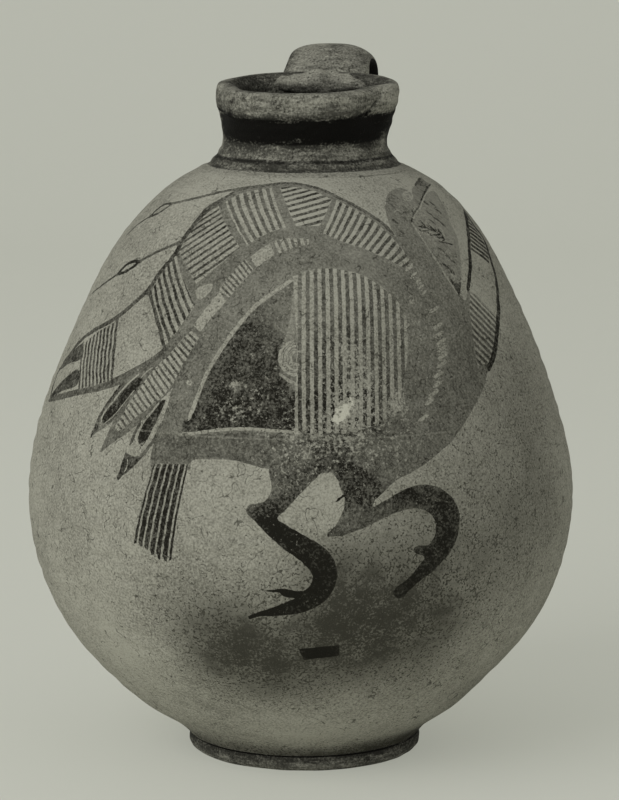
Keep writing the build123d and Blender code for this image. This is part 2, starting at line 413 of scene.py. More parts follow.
@dataclass
class Body:
    """The pear-shaped body: its wall from the foot to the opening."""

    girth_radius: float = 120.0  # in millimetres
    girth_height: float = 115.0
    shoulder_height: float = 258.0  # of the opening
    opening_radius: float = 46.0
    foot_radius: float = 51.0
    foot_height: float = 7.0
    wall: float = 6.0
    floor: float = 8.0
    seam: float = 157.0  # the height of the joint between the two thrown sections
    slip: float = 0.8  # the thickness of the slip in a joint
    seam_stand: float = 0.05  # how far the slip in the seam stands out
    seam_tone: float = 0.7  # how much of the paint's tone that slip takes
    paint_bottom: float = 64.0  # the height from which the wall carries paint
    fine_step: float = 0.86  # of the grid, up the painted wall
    coarse_step: float = 2.6  # up the bare wall
    inner_step: float = 6.0  # up the inside
    hub: float = 0.5  # the radius at which the floor's rings close on a point
    floor_curve: float = 6.0  # how far the floor's edge is rounded inside
    painted_half: float = 82.0  # how far round the painted side reaches from its middle, in degrees
    fine_turn: float = 0.45  # the grid's step round that side
    coarse_turn: float = 2.2  # its step round the other side
    # Shares of the change in radius and in height.
    foot_to_girth: Rows = (
        (0.065, 0.045), (0.24, 0.12), (0.485, 0.26), (0.735, 0.445), (0.92, 0.675),
    )
    girth_to_opening: Rows = (
        (0.104, 0.294), (0.22, 0.455), (0.373, 0.63), (0.524, 0.77), (0.68, 0.875), (0.857, 0.958),
    )

    def __post_init__(self) -> None:
        """Works out the outline once, and its length from the foot up."""
        foot = (self.foot_radius, self.foot_height)
        girth = (self.girth_radius, self.girth_height)
        opening = (self.opening_radius, self.shoulder_height)
        lower = between(foot, girth, self.foot_to_girth)
        upper = between(girth, opening, self.girth_to_opening)
        self.line = smooth_curve(np.concatenate([[foot], lower, [girth], upper, [opening]]), count=1400)
        steps = np.linalg.norm(np.diff(self.line, axis=0), axis=1)
        self.length = np.concatenate([[0.0], np.cumsum(steps)])
        self.angles = close_round(VIEW.turn, self.painted_half, self.fine_turn, self.coarse_turn)

    def radius_at(self, height: Array) -> Array:
        """The wall's outer radius at some heights."""
        return np.interp(height, self.line[:, 1], self.line[:, 0])

    def length_at(self, height: Array) -> Array:
        """How far up the outline some heights lie, in millimetres along the wall."""
        return np.interp(height, self.line[:, 1], self.length)

    def facing(self, height: Array) -> tuple[Array, Array]:
        """How far outwards and how far upwards the wall faces at some heights, as parts of a unit vector."""
        slope = self.radius_at(height - 0.5) - self.radius_at(height + 0.5)
        out = 1 / np.sqrt(1 + slope**2)
        return out, slope * out

    def rows(self, bottom: float, top: float, step: float) -> Array:
        """Points of the outline at even steps along the wall.

        Args:
            bottom: The height of the first point.
            top: The height of the last point.
            step: About how far the points lie apart.

        Returns:
            Radii and heights.
        """
        first, last = float(self.length_at(bottom)), float(self.length_at(top))
        wanted = np.linspace(first, last, max(2, round((last - first) / step) + 1))
        height = np.interp(wanted, self.length, self.line[:, 1])
        return np.stack([self.radius_at(height), height], axis=1)

    def inner(self, outer: Array, depth: float) -> Array:
        """The outline moved inwards, square to itself, by a depth."""
        way = unit(np.gradient(outer, axis=0))
        return outer + np.stack([-way[:, 1], way[:, 0]], axis=1) * depth

    def wall_sheet(self, outline: Array, ring: bool, marks: dict[str, Array]) -> Sheet:
        """A closed piece of wall from its outline, leaned and dented as one with the rest of the body."""
        points = turned(outline, self.angles)
        height = np.clip(outline[:, 1], self.foot_height, self.shoulder_height)
        core = turned(np.stack([self.radius_at(height), height], axis=1), self.angles)
        return Sheet(points + STANCE.settled(core, outward(outline, self.angles)) - core, ring, marks)

    def lower(self) -> Array:
        """The lower section's outline, from the middle of the underside out, up, over the seam and in."""
        bottom, seam = self.foot_height, self.seam
        plain = self.rows(bottom, self.paint_bottom, self.coarse_step)
        painted = self.rows(self.paint_bottom, seam, self.fine_step)
        base = bottom + self.floor
        inner = self.inner(self.rows(base, seam, self.inner_step), self.wall)[::-1]
        inner = inner[inner[:, 1] > base + 1]
        inner[0, 1] = seam
        under = even_steps([(self.hub, bottom), (self.foot_radius, bottom)], count=8)
        floor = even_steps([inner[-1], (inner[-1, 0] - self.floor_curve, base), (self.hub, base)], count=12)
        rim = even_steps([painted[-1], inner[0]], count=4)
        return joined(under, plain, painted, rim, inner, floor)

    def band(self, bottom: float, top: float, step: float, inner_step: float, stand: float = 0.0) -> Array:
        """The closed outline of a ring of wall between two heights."""
        outer = self.rows(bottom, top, step) + np.array([stand, 0])
        inner = self.inner(self.rows(bottom, top, inner_step), self.wall)[::-1]
        inner[0, 1], inner[-1, 1] = top, bottom
        over = even_steps([outer[-1], inner[0]], count=4)
        under = even_steps([inner[-1], outer[0]], count=4)
        return joined(outer, over, inner, under)[:-1]

    def build(self, clay: Material) -> None:
        """Makes both thrown sections and the slip between them, all painted as one."""
        bird, above = Bird(), self.seam + self.slip
        seam = self.band(self.seam, above, self.slip / 2, self.slip / 2, self.seam_stand)
        upper = self.band(above, self.shoulder_height, self.fine_step, self.inner_step)
        for outline, ring, tone, name, node, slot in (
            (self.lower(), False, 1.0, "thrown_lower_body", "lower_body", Slot.CLAY),
            (seam, True, self.seam_tone, "slip_in_girth_seam", "girth_slip", Slot.SLIP),
            (upper, True, 1.0, "thrown_shoulder", "upper_body", Slot.CLAY),
        ):
            show(self.wall_sheet(outline, ring, bird.on(self, outline, tone)), name, node, clay)


@dataclass(frozen=True)
class Patch:
    """A filled shape of paint, or of bare clay."""

    outline: Row  # x and y of one corner after the other, in pixels of the photograph
    tone: float = 0.0  # how dense the paint is, from 0 to 1
    rounded: bool = True  # whether the outline bends smoothly through its corners


@dataclass(frozen=True)
class Stroke:
    """A painted line, or a line of bare clay."""

    path: Row  # x and y of its points
    width: float  # in pixels
    tone: float = 1.0


@dataclass(frozen=True)
class Hatching:
    """Stripes of paint in a bare field."""

    field: Row  # its outline
    first: Row  # two points of the stripe at one end of the field
    last: Row  # two points of the one at the other end
    count: int  # of the spaces between the two
    tone: float
    share: float  # how much of a space is painted


def bent(points: Row, closed: bool, steps: int = 4) -> Array:
    """A smooth line through some points, with the slope at each set by its two neighbours.

    Args:
        points: The points that it passes through.
        closed: Whether the last point runs on to the first.
        steps: How many pieces each stretch gets.

    Returns:
        The line's points.
    """
    own = np.reshape(points, (-1, 2))
    end = own[-1:]
    if closed:
        before, after, later = np.roll(own, 1, 0), np.roll(own, -1, 0), np.roll(own, -2, 0)
    else:
        longer = np.concatenate([own[:1], own, own[-1:]])
        before, after, later = longer[:-3], longer[2:-1], longer[3:]
        own = longer[1:-2]
    t = (np.arange(steps) / steps)[None, :, None]
    p, q, r, s = (part[:, None, :] for part in (before, own, after, later))
    line = q + 0.5 * t * (r - p + t * (2 * p - 5 * q + 4 * r - s + t * (3 * (q - r) + s - p)))
    line = line.reshape(-1, 2)
    return line if closed else np.concatenate([line, end])


@dataclass
class Canvas:
    """The painted side of the wall, unrolled.

    A point of it is its angle from the middle of the painted side, in radians, and its way up the wall in
    millimetres. Near the point, an angle times the wall's radius is a length.
    """

    body: Body
    angle: Array  # of the points that ask
    way: Array  # theirs up the wall
    before: float = 170.0  # how far before the axis a ray is followed from, in millimetres
    behind: float = 60.0  # how far behind it the ray ends
    steps: int = 1150
    fill_room: float = 4.0  # how far round a patch its distance is worked out
    line_room: float = 5.0  # how far round a line or a striped field
    overlap: float = 0.4  # how far out of its outline a later patch still sets the tone

    def __post_init__(self) -> None:
        """Works out the wall's radius at each point, and clears the canvas."""
        self.radius = np.interp(self.way, self.body.length, self.body.line[:, 0])
        self.near = np.full(self.way.shape, FAR)
        self.marks = {name: np.full(self.way.shape, blank(name)) for name in (*PAINT_MARKS, "grime", "chip")}

    def unroll(self, pixels: Array) -> Array:
        """Where the camera's rays through some pixels first meet the wall.

        Each ray is followed in small steps. The first step at which its distance from the leaning axis
        falls below the wall's radius is the place, or the nearest pass where it misses.

        Args:
            pixels: Pixels of the photograph.

        Returns:
            An angle and a way up the wall for each.
        """
        along = np.linspace(VIEW.distance - self.before, VIEW.distance + self.behind, self.steps)
        points = VIEW.place() + along[None, :, None] * VIEW.rays(pixels)[:, None, :]
        height = points[..., 2]
        points = points - STANCE.lean_at(height)[..., None] * VIEW.axes()[0]
        gap = np.hypot(points[..., 0], points[..., 1]) - self.body.radius_at(height)
        met = np.where((gap < 0).any(axis=1), (gap < 0).argmax(axis=1), gap.argmin(axis=1))
        place = points[np.arange(len(pixels)), met]
        angle = np.arctan2(place[:, 0], -place[:, 1]) - math.radians(VIEW.turn)
        return np.stack([angle, self.body.length_at(place[:, 2])], axis=1)

    def near_by(self, line: Array, room: float) -> Array:
        """Which points lie within some room of a line's box."""
        low, high = line.min(axis=0), line.max(axis=0)
        turn = room / self.radius
        across = (self.angle > low[0] - turn) & (self.angle < high[0] + turn)
        return np.flatnonzero(across & (self.way > low[1] - room) & (self.way < high[1] + room))

    def from_start(self, spots: Array, start: Array, end: Array) -> tuple[Array, Array, Array, float]:
        """Where some points and a stretch's end lie from its start, across and up, in millimetres."""
        radius = self.radius[spots]
        across = (self.angle[spots] - start[0]) * radius
        return across, self.way[spots] - start[1], (end[0] - start[0]) * radius, end[1] - start[1]

    def from_line(self, line: Array, spots: Array) -> tuple[Array, Array]:
        """How far some points lie from a line, and on which side of it.

        Args:
            line: The line's points on the canvas.
            spots: The numbers of the points that ask.

        Returns:
            Distances in millimetres, and the same distances with their side as a sign.
        """
        far, side = np.full(len(spots), FAR), np.full(len(spots), FAR)
        for start, end in zip(line[:-1], line[1:]):
            x, y, dx, dy = self.from_start(spots, start, end)
            share = np.clip((x * dx + y * dy) / np.maximum(dx * dx + dy * dy, TINY), 0, 1)
            gap = np.hypot(x - share * dx, y - share * dy)
            closer = gap < far
            far = np.where(closer, gap, far)
            side = np.where(closer, np.where(dx * y - dy * x < 0, -gap, gap), side)
        return far, side

    def inside(self, outline: Array, spots: Array) -> Array:
        """How far some points lie from a closed outline, below zero inside it."""
        loop = np.concatenate([outline, outline[:1]])
        far, _ = self.from_line(loop, spots)
        angle, way = self.angle[spots], self.way[spots]
        within = np.zeros(len(spots), bool)
        for start, end in zip(loop[:-1], loop[1:]):
            spans = (start[1] > way) != (end[1] > way)
            rise = end[1] - start[1] or TINY
            within ^= spans & (angle < start[0] + (way - start[1]) / rise * (end[0] - start[0]))
        return np.where(within, -far, far)

    def outline(self, patch: Patch) -> Array:
        """A patch's outline on the canvas."""
        return self.unroll(bent(patch.outline, closed=True, steps=4 if patch.rounded else 1))

    def fill(self, patch: Patch) -> None:
        """Adds a patch of paint. Where patches lie over each other, the later one's tone holds."""
        line = self.outline(patch)
        spots = self.near_by(line, self.fill_room)
        gap = self.inside(line, spots)
        paint, tone = self.marks["paint"], self.marks["tone"]
        tone[spots] = np.where((gap < self.overlap) | (gap < self.near[spots]), patch.tone, tone[spots])
        self.near[spots] = np.minimum(self.near[spots], gap)
        paint[spots] = np.minimum(paint[spots], gap)

    def bare(self, patch: Patch) -> None:
        """Takes the paint away inside a patch."""
        line = self.outline(patch)
        spots = self.near_by(line, self.fill_room)
        paint = self.marks["paint"]
        paint[spots] = np.maximum(paint[spots], -self.inside(line, spots))

    def keep(self, group: str, spots: Array, closer: Array, parts: dict[str, Array | float]) -> None:
        """Writes the parts of a group of marks at those spots where the new thing is the closer one."""
        for part, value in parts.items():
            mark = self.marks[f"{group}_{part}"]
            mark[spots] = np.where(closer, value, mark[spots])

    def draw(self, stroke: Stroke, kind: Line) -> None:
        """Adds a line. The canvas keeps the nearest line of each kind, with its side, width and tone."""
        line = self.unroll(bent(stroke.path, closed=False))
        spots = self.near_by(line, self.line_room)
        far, side = self.from_line(line, spots)
        half = stroke.width / 2 / PIXELS_PER_MM
        closer = far - half < self.marks[f"{kind.value}_far"][spots] - self.marks[f"{kind.value}_half"][spots]
        self.keep(kind.value, spots, closer, {"side": side, "far": far, "half": half, "tone": stroke.tone})

    def hatch(self, hatching: Hatching, stripes: Stripes) -> None:
        """Bares a field and counts stripes across it.

        With p and q the distances of a point from the first and the last stripe, the count is
        p / (p + q) times the number of spaces.

        Args:
            hatching: The field and its stripes.
            stripes: Which of the two sets takes it.
        """
        line = self.outline(Patch(hatching.field, rounded=False))
        spots = self.near_by(line, self.line_room)
        gap = self.inside(line, spots)
        self.marks["paint"][spots] = np.maximum(self.marks["paint"][spots], -gap)
        gaps = []
        for pair in (hatching.first, hatching.last):
            x, y, dx, dy = self.from_start(spots, *self.unroll(np.reshape(pair, (-1, 2))))
            gaps.append((dx * y - dy * x) / np.hypot(dx, dy))
        count = hatching.count * gaps[0] / (gaps[0] - gaps[1])
        closer = gap < self.marks[f"{stripes.value}_edge"][spots]
        parts = {"stripe": count, "edge": gap, "share": hatching.share, "tone": hatching.tone}
        self.keep(stripes.value, spots, closer, parts)

    def cloud(self, kind: Cloud, spot: tuple[float, float, float, float]) -> None:
        """Adds a soft round cloud to a mark: a strength times a bell curve of the distance."""
        x, y, size, strength = spot
        centre = self.unroll(np.array([[x, y]], float))[0]
        far = np.hypot((self.angle - centre[0]) * self.radius, self.way - centre[1])
        self.marks[kind.value] += strength * bell(far * PIXELS_PER_MM, size)


def arc(centre: Pair, radius: float, start: float = 0.0, end: float = 360.0, count: int = 12) -> Row:
    """Points of an arc, in pixels, its angles in degrees from the right and downwards."""
    turn = np.radians(np.linspace(start, end, count))
    x, y = centre[0] + radius * np.cos(turn), centre[1] + radius * np.sin(turn)
    return tuple(np.stack([x, y], axis=1).ravel().tolist())


class Bird:
    """The bird that is painted on the front, walking to the right with its wings up.

    All its places are pixels of the photograph: corners of patches and fields, points of
    lines, and the middle, the width and the strength of each soft cloud.
    """

    reach = 100.0  # of the paint to both sides of its middle, in degrees
    skin = 0.5  # how close to the body's outline its outside lies, in millimetres
    foot_shade_side = 0.35  # how much deeper the painted shade over the foot is on the right
    foot_shade_height = 6.5  # the width of that painted shade over the foot, in millimetres

    wing_band = Patch((149.4, 291, 160.5, 272.5, 177, 252, 191.5, 228.5, 205, 211, 222.5, 200, 240, 189.5,
        275.7, 183.8, 297, 183.8, 320, 189, 335.4, 196, 358.4, 207.5, 381.3, 222, 392, 232.8, 403, 245, 415, 264,
        428, 290, 424, 300, 405, 278, 389, 266, 360, 254, 317, 245, 290, 252, 275, 260, 256, 273, 232, 303, 204, 338,
        190, 333, 165, 350, 157, 322), 0.5)
    body = Patch((153.2, 466.5, 153.8, 455, 155, 440.5, 160, 428, 166, 410, 170, 396, 177, 378, 188, 358, 200, 338,
        214, 318, 228.4, 299, 241, 284, 256, 269, 275, 255.5, 296, 247, 317, 239, 340, 242, 360, 248, 376, 255,
        389, 261, 403, 270, 418, 282, 440, 292, 459, 296, 469, 291, 484, 304, 497, 320, 496, 335, 494, 350.8,
        488.8, 368, 482, 390.4, 475, 406, 466.4, 419.7, 454.4, 438.6, 445, 447.5, 429.3, 460.3, 413.4, 471.5,
        397.4, 479.4, 383, 490.6, 375, 500, 368, 510, 350, 512, 344, 506, 344.8, 496, 340, 484, 331.2, 471.5,
        325.7, 470.2, 300, 471, 272.3, 468.7, 262.4, 467.9, 245.8, 463, 229, 459.6, 212.6, 459.3, 196, 459.6,
        189.4, 461.5, 188.5, 466.5), 0.5)
    breast = Patch((412, 300, 430, 296, 455, 300, 466, 304, 470, 330, 476, 362, 486, 378, 475, 406, 454, 438,
        429, 460, 397, 479, 375, 499, 350, 505, 338, 478, 345, 450, 385, 430, 406, 405, 413, 370, 414, 330), 0.5)
    belly = Patch((158, 438, 182, 437, 250, 434, 298, 438, 345, 440, 348, 470, 300, 471, 262, 467, 229, 459.6,
        196, 459.6, 190, 464, 189, 470, 152.5, 470, 153, 445), 0.62)
    dark_field = Patch((190, 419, 197, 404, 206.5, 380, 220, 356, 235.5, 334, 254, 312, 270, 299, 293.5, 279.5,
        292.5, 311, 288, 332, 281.5, 349, 279, 366, 284, 378, 295, 387, 295, 431, 270, 429.5, 246, 427.5, 221, 428.5,
        196, 431.5, 183, 432, 184.5, 421.5), 0.84)
    eye_field = Patch((293, 311, 288, 332, 281, 349, 279, 364, 284, 377, 297, 385, 297, 278), 0.5)
    neck = Patch((387, 205, 387, 213, 389, 222, 393, 231, 403, 246, 415, 264, 428, 290, 440, 300, 458, 300,
        454.4, 290.5, 440, 267, 422, 238, 415, 218, 414, 205), 0.44)
    head = Patch(arc((401.3, 203), 14.8, 0, 330, 12), 0.5)
    crest = Patch((413, 189, 416, 184.5, 420.7, 177, 425, 181, 429.6, 184, 424, 196, 416, 211, 411, 204), 0.5, False)
    shield = Patch((433.6, 190.6, 424, 199, 414, 213.5, 417, 228, 422, 238, 431, 252, 443, 271, 454, 289, 458.7, 295,
        460, 280.2, 460.6, 259.5, 457.8, 238.9, 451, 221.7, 444, 204.4), 0.33)
    shield_tip = Patch((450, 280, 458.7, 296, 460.4, 282, 456, 284), 0.78, False)
    crescent = Patch((224, 198, 212, 203.5, 202, 212, 203, 219, 213, 213, 222, 206), 0.72)
    wing_border = Patch((52, 397, 63, 393, 79, 389, 98, 384.5, 116, 377, 136, 366.5, 152, 357, 165, 347, 173, 350,
        158, 363, 140, 374, 120, 384.5, 100, 391, 79.6, 395, 50.3, 402), 0.72)
    upper_leaf = Patch((84, 343, 70, 354.5, 59.5, 369.5, 71, 363, 81.5, 359), 0.85)
    lower_leaf = Patch((79, 369, 63, 381, 51.5, 396.5, 64, 390.5, 78, 385), 0.85)
    first_leaf = Patch((143, 376.5, 134, 380.5, 127.5, 387.5, 121.5, 394.8, 115.2, 402.6, 109, 408.9, 103.2, 415.6,
        102.2, 421.3, 105.5, 422.4, 110.5, 418.7, 117, 411.5, 124, 403, 129.5, 395.5, 136, 388.5), 0.95)
    first_feather = Patch((141, 372, 128, 379, 120.5, 385.5, 111, 397, 104.5, 406, 99.5, 414, 95, 424, 91, 435.5,
        99, 430.5, 106, 426.5, 114.7, 419.3, 122, 411, 131, 400, 140, 389, 150, 374), 0.66)
    ladder_feather = Patch((193, 327, 172, 346, 158, 359, 144, 373, 132, 392, 121, 409, 114.7, 419.3, 110, 427,
        105.8, 436.5, 99.3, 452.5, 110, 444.5, 121, 437, 130, 430.5, 139, 423, 150, 412, 157, 404, 168, 393, 180, 379,
        191, 359, 203, 340), 0.62)
    last_leaf = Patch((165, 399.5, 160.5, 401.5, 157, 407, 150.5, 414.5, 144.7, 422, 140, 430.5, 137.2, 438,
        138.1, 442.8, 141.5, 446.5, 144.7, 442.5, 149.4, 435, 153.1, 427.5, 157, 420, 160.6, 412.5, 164.4, 404), 0.95)
    last_tip = Patch((125.3, 452, 129, 455, 132.5, 456.8, 137.5, 456.3, 142, 457, 134, 466, 126, 471.8, 122.2, 475.5,
        117, 481.5, 115.8, 477.5, 118.7, 471.6, 121.1, 462.2, 123.5, 455), 0.85, False)
    left_leg = Patch((273, 463, 271.8, 487.4, 267.5, 498.6, 261.9, 502.5, 250.7, 504, 246.7, 508, 248, 514.5,
        255.5, 520.9, 266.7, 533.6, 282.6, 548, 300, 560.7, 309.7, 570.3, 312.9, 578.3, 309.7, 586.3, 303.3, 591.8,
        298, 597, 285.8, 602.2, 269.9, 608.6, 249.9, 615, 250.4, 619, 258, 616.4, 277.8, 615.7, 300, 613.4,
        319.3, 605.4, 332, 592.6, 337, 578.3, 336.8, 568.7, 332, 556, 320.9, 544.8, 309.7, 538.4, 298.6, 532,
        282.6, 522.5, 277.4, 517.7, 285.8, 509.7, 298.6, 495.4, 309.7, 484.2, 320.9, 473, 325.7, 464), 0.68)
    back_toe = Patch((304, 591.5, 293.8, 591, 284.2, 588.8, 272, 589.8, 262, 591.2, 277.8, 592.4, 284, 596.6,
        297, 598), 0.8)
    rectangle = Patch((298, 649, 339, 645, 339.5, 656, 304, 660), 0.8, False)
    right_leg = Patch((331.2, 464, 340, 484.2, 344.5, 492.2, 344.8, 500.2, 344, 506.5, 340, 517.7, 333.6, 527.3,
        326.5, 535.6, 341.6, 536, 352.8, 532, 365.5, 527.3, 381.5, 519.3, 395.8, 512.9, 410.2, 508.9, 421.3, 508.9,
        430.9, 514.5, 435.7, 522.5, 435.7, 532, 432.5, 540, 429, 545, 421.3, 545.6, 414.9, 547.2, 413.4, 550.4,
        416.5, 553.6, 424.5, 557.6, 418, 567, 408.6, 578.3, 395.8, 587.8, 393.4, 594.2, 397.4, 598.2, 403.8, 596.6,
        408.6, 591, 421.3, 579.9, 434, 570.3, 446.8, 556, 454.8, 543.2, 458.8, 530.4, 459.6, 516, 456.4, 504.9,
        450, 495.4, 438.9, 487.4, 426, 484.5, 413.4, 485.8, 399, 492.2, 383, 501.7, 371, 507.5, 375, 499, 383, 488,
        360, 468), 0.68)
    fills = (wing_band, body, breast, belly, neck, dark_field, eye_field, head, crest, shield, shield_tip, crescent,
        wing_border, upper_leaf, lower_leaf, first_feather, ladder_feather, first_leaf, last_leaf, last_tip, left_leg,
        back_toe, right_leg, rectangle)

    tip_stripes = Hatching((84, 345, 95, 334, 117, 321, 112, 380, 97, 385, 80.5, 389), (84.5, 342, 80, 390),
        (118, 318, 112, 383), 9, 0.85, 0.56)
    falling_stripes = Hatching((151, 291, 160.5, 275, 176, 255, 195, 305, 181, 325, 166, 346), (149.4, 292.3,
        164.9, 349), (177.8, 254.4, 196, 308), 6, 0.85, 0.47)
    rising_stripes = Hatching((179, 250, 191.5, 231.5, 205, 215, 219, 205, 240, 248, 226, 259, 196, 284), (200, 216.5,
        222.5, 203), (193, 287, 241, 254), 11, 0.82, 0.4)
    steep_stripes = Hatching((226, 201.5, 240, 193.5, 255, 190, 272, 187.5, 286, 228, 273, 231, 257, 238, 247.5, 246),
        (222.5, 204, 244, 248), (275, 186, 288, 228), 7, 0.66, 0.47)
    level_stripes = Hatching((280, 187, 297, 187, 315, 191, 332, 199.5, 320, 226, 296, 226), (275, 190, 310, 181),
        (290, 236, 325, 227), 9, 0.78, 0.46)
    fanned_stripes = Hatching((337, 200, 358, 211, 375, 221.5, 389, 234, 400, 247, 410, 261, 404, 268, 397, 265,
        389, 260, 376, 254, 360, 247, 340, 241, 323, 233), (335, 198, 322, 232), (409.5, 261, 400, 269), 13, 0.74,
        0.46)
    ladder_top = Hatching((273, 241, 290, 238, 309, 239, 309, 245, 296, 247, 279, 253.5), (271, 242, 278, 255),
        (311, 238, 312, 246), 6, 0.6, 0.46)
    ladder_middle = Hatching((245, 259, 253.5, 270, 240, 284, 229, 297.5, 218.5, 290, 231, 274), (247, 257,
        255.5, 269), (217, 289, 227.5, 299.5), 9, 0.66, 0.44)
    ladder_long = Hatching((191, 330.5, 183, 338, 175.5, 347, 166.5, 357.5, 160.5, 362.5, 154, 369.5, 168, 390,
        171.5, 386, 175.5, 379.5, 179.5, 371.5, 183, 363, 187, 359, 190, 352, 193.5, 347, 196, 341.5, 199.5, 338),
        (192, 330, 200, 337.5), (154, 368, 168.5, 390), 10, 0.74, 0.42)
    ladder_end = Hatching((154, 369.5, 146, 379, 139.5, 388.5, 135, 394.5, 130, 401.5, 124, 411, 118.5, 421,
        114.5, 427, 116.5, 431.5, 124.5, 428, 129, 423.5, 135, 417.5, 140, 414, 147, 409.5, 151, 405, 156, 401,
        161, 399, 168, 390), (154, 368, 168.5, 390), (113, 427, 118, 434), 12, 0.74, 0.4)
    breast_stripes = Hatching((293, 277, 302.5, 272, 315.5, 269, 330.8, 268, 346.9, 270.5, 363, 275, 379.8, 285.5,
        389, 293, 399, 303, 407, 318, 409, 345, 408, 365, 404, 389, 398, 407, 390, 412, 381, 424, 350, 432, 320, 434,
        297, 433, 296, 386, 297, 340), (292, 277, 292, 430), (408, 300, 412, 400), 15, 0.68, 0.5)
    tail_stripes = Hatching((153.5, 464, 188.4, 464, 172, 560, 166, 561.5, 163.8, 556.5, 159.5, 560, 157.5, 553,
        152, 555, 150.5, 549, 146.5, 550, 145, 545.5, 140.6, 546.5, 139.5, 542.5, 134.2, 543.5), (153.2, 463.5,
        134.6, 543), (189, 463.5, 172, 560), 6, 1.0, 0.72)
    outer_wing_stripes = Hatching((466, 216, 473, 226, 483, 240, 490, 257, 490, 265, 472, 251, 470, 235), (464, 212,
        476, 221), (471, 252, 491, 267), 11, 0.95, 0.62)
    lower_wing_stripes = Hatching((469, 291, 497, 319, 495, 345, 490, 362, 478, 366, 473, 340, 469, 310), (466, 287,
        499, 321), (474, 357, 492, 376), 10, 0.72, 0.55)
    hatchings = {Stripes.FIRST: (tip_stripes, falling_stripes, steep_stripes, fanned_stripes, ladder_middle,
        tail_stripes, lower_wing_stripes, breast_stripes, ladder_end), Stripes.SECOND: (rising_stripes, level_stripes,
        ladder_top, ladder_long, outer_wing_stripes)}

    upper_block = Patch((249.7, 257.2, 260, 249, 269.6, 243.5, 275, 255, 265, 261, 256.6, 268), rounded=False)
    lower_block = Patch((219, 292.3, 226, 301, 212, 317, 200, 332, 193, 325, 205, 309), rounded=False)
    bare_spot = Patch((196, 289, 205, 285, 212, 284, 210.5, 290.5, 204, 297, 199, 300, 195, 294))
    cell_places = ((408.5, 267, 3.6), (412.7, 275.2, 3.0), (417.3, 281, 2.5), (420.4, 286.6, 2.1),
        (423.4, 292.5, 1.9))
    wing_strip = Patch((441, 197, 446, 205, 452.5, 221, 459, 239, 462, 259, 461.6, 282, 462, 298, 466, 298,
        467.5, 275, 468, 250, 466.5, 228, 461, 208, 450, 196))
    bares = (upper_block, lower_block, bare_spot, wing_strip)

    wing_edge = Stroke((222.5, 200, 205.3, 211.3, 191.5, 228.5, 183, 239.7, 176, 252.7, 160.5, 271.6, 148.5, 288.8,
        134.7, 302.6, 115.8, 318, 95, 330, 81.3, 340.5, 67.5, 357.7, 57.2, 375, 50.8, 399), 5.1, 0.81)
    wing_top = Stroke((223.7, 199, 240, 190, 275.7, 183.8, 297, 183.8, 320, 189, 335.4, 196, 358.4, 207.5, 381.3, 222,
        392, 232.8), 3.8, 0.73)
    bare_left = Stroke((117.5, 319.8, 111.5, 381.8), 3.5, 0.81)
    bare_right = Stroke((149.4, 292.3, 164.9, 349), 3.8, 0.81)
    tip_left = Stroke((83.5, 344, 79.8, 388.7), 2.9, 0.81)
    upper_tendril = Stroke((275, 184.5, 246, 187.5, 221, 192, 193, 199, 173, 203.5), 3.6, 0.7)
    upper_bud = Stroke((173, 203.5, 166, 204.2, 158.5, 209.5, 152, 216, 160, 213, 167.5, 208, 173, 203.5), 3.0, 0.9)
    upper_end = Stroke((152, 216, 137.5, 225.5, 127.6, 235), 2.4, 0.85)
    lower_tendril = Stroke((183, 240, 170, 246.5, 156, 252.5, 140, 261.3), 3.2, 0.73)
    lower_bud = Stroke((140, 261.3, 131.5, 262, 123.5, 267.8, 118, 274, 126.5, 271.2, 134, 266.4, 140, 261.3), 3.6)
    lower_end = Stroke((118, 274, 104, 283.6, 92, 293), 2.4, 0.85)
    first_outer = Stroke((122, 383.5, 113.3, 395.8, 106.8, 404.2, 101, 413, 96.5, 423, 91.5, 434.5), 3.0, 0.82)
    left_tip = Stroke((98, 425, 94.5, 430, 91.3, 435.5), 3.4, 0.85)
    last_outer = Stroke((139.5, 424, 134, 434, 130.5, 443), 3.6, 0.8)
    last_inner = Stroke((161.5, 424, 155.5, 436.5, 149.8, 445.5, 144, 452.5, 138, 459, 132, 465.5, 123.5, 473), 3.6,
        0.7)
    wing_inner = Stroke((463.9, 211.3, 468.2, 226.8, 469.9, 247.5, 469.9, 266.4, 467.3, 289), 4.8, 0.98)
    wing_outer = Stroke((463.9, 211.3, 473.3, 225, 483.7, 238.9, 490.5, 256, 496.6, 276.8, 498.3, 299, 497.4, 321.5,
        494, 350.8, 488.8, 368), 5.8, 0.95)
    crest_edge = Stroke((430, 184, 427.5, 188, 425.5, 192.5, 423.5, 197.5, 421.8, 202, 420.3, 207, 417.5, 210.5,
        414.5, 214.5, 412.8, 219, 412, 222), 1.9, 0.98)
    chevrons = tuple(Stroke(line, 1.9) for line in ((421.8, 221.8, 424.5, 225, 427.8, 228), (419.5, 226.5, 424, 227,
        428.5, 227.8), (429, 224, 432, 227.5, 435.8, 231), (421, 230.5, 425, 231, 428.8, 231.5), (429.5, 229.5,
        432.5, 230.2, 436, 231), (436.5, 228.8, 440, 231, 442.5, 234.5, 444.2, 238.4), (431, 235, 435, 234.5,
        440.5, 234), (438.5, 237.4, 444, 238.4), (440, 241.5, 446, 243, 452, 244.6), (404.5, 212.6, 409, 211.8,
        414, 211.4)))
    flecks = tuple(Stroke((x - 1.6, y - 1.2, x + 1.6, y + 1.2), 3.0, 0.8) for x, y in ((427, 203), (434, 204),
        (439, 211), (430, 213), (437, 219), (444, 225), (433, 222), (441, 250), (447, 256), (453, 262), (445, 266),
        (451, 272), (397, 197), (393, 206), (399, 212), (406, 208), (396, 222), (402, 232)))
    crest_gap = Stroke((425.3, 198.5, 423.2, 203, 421.8, 207.8, 419, 211.3, 416, 215, 414.4, 218.5), 1.3)
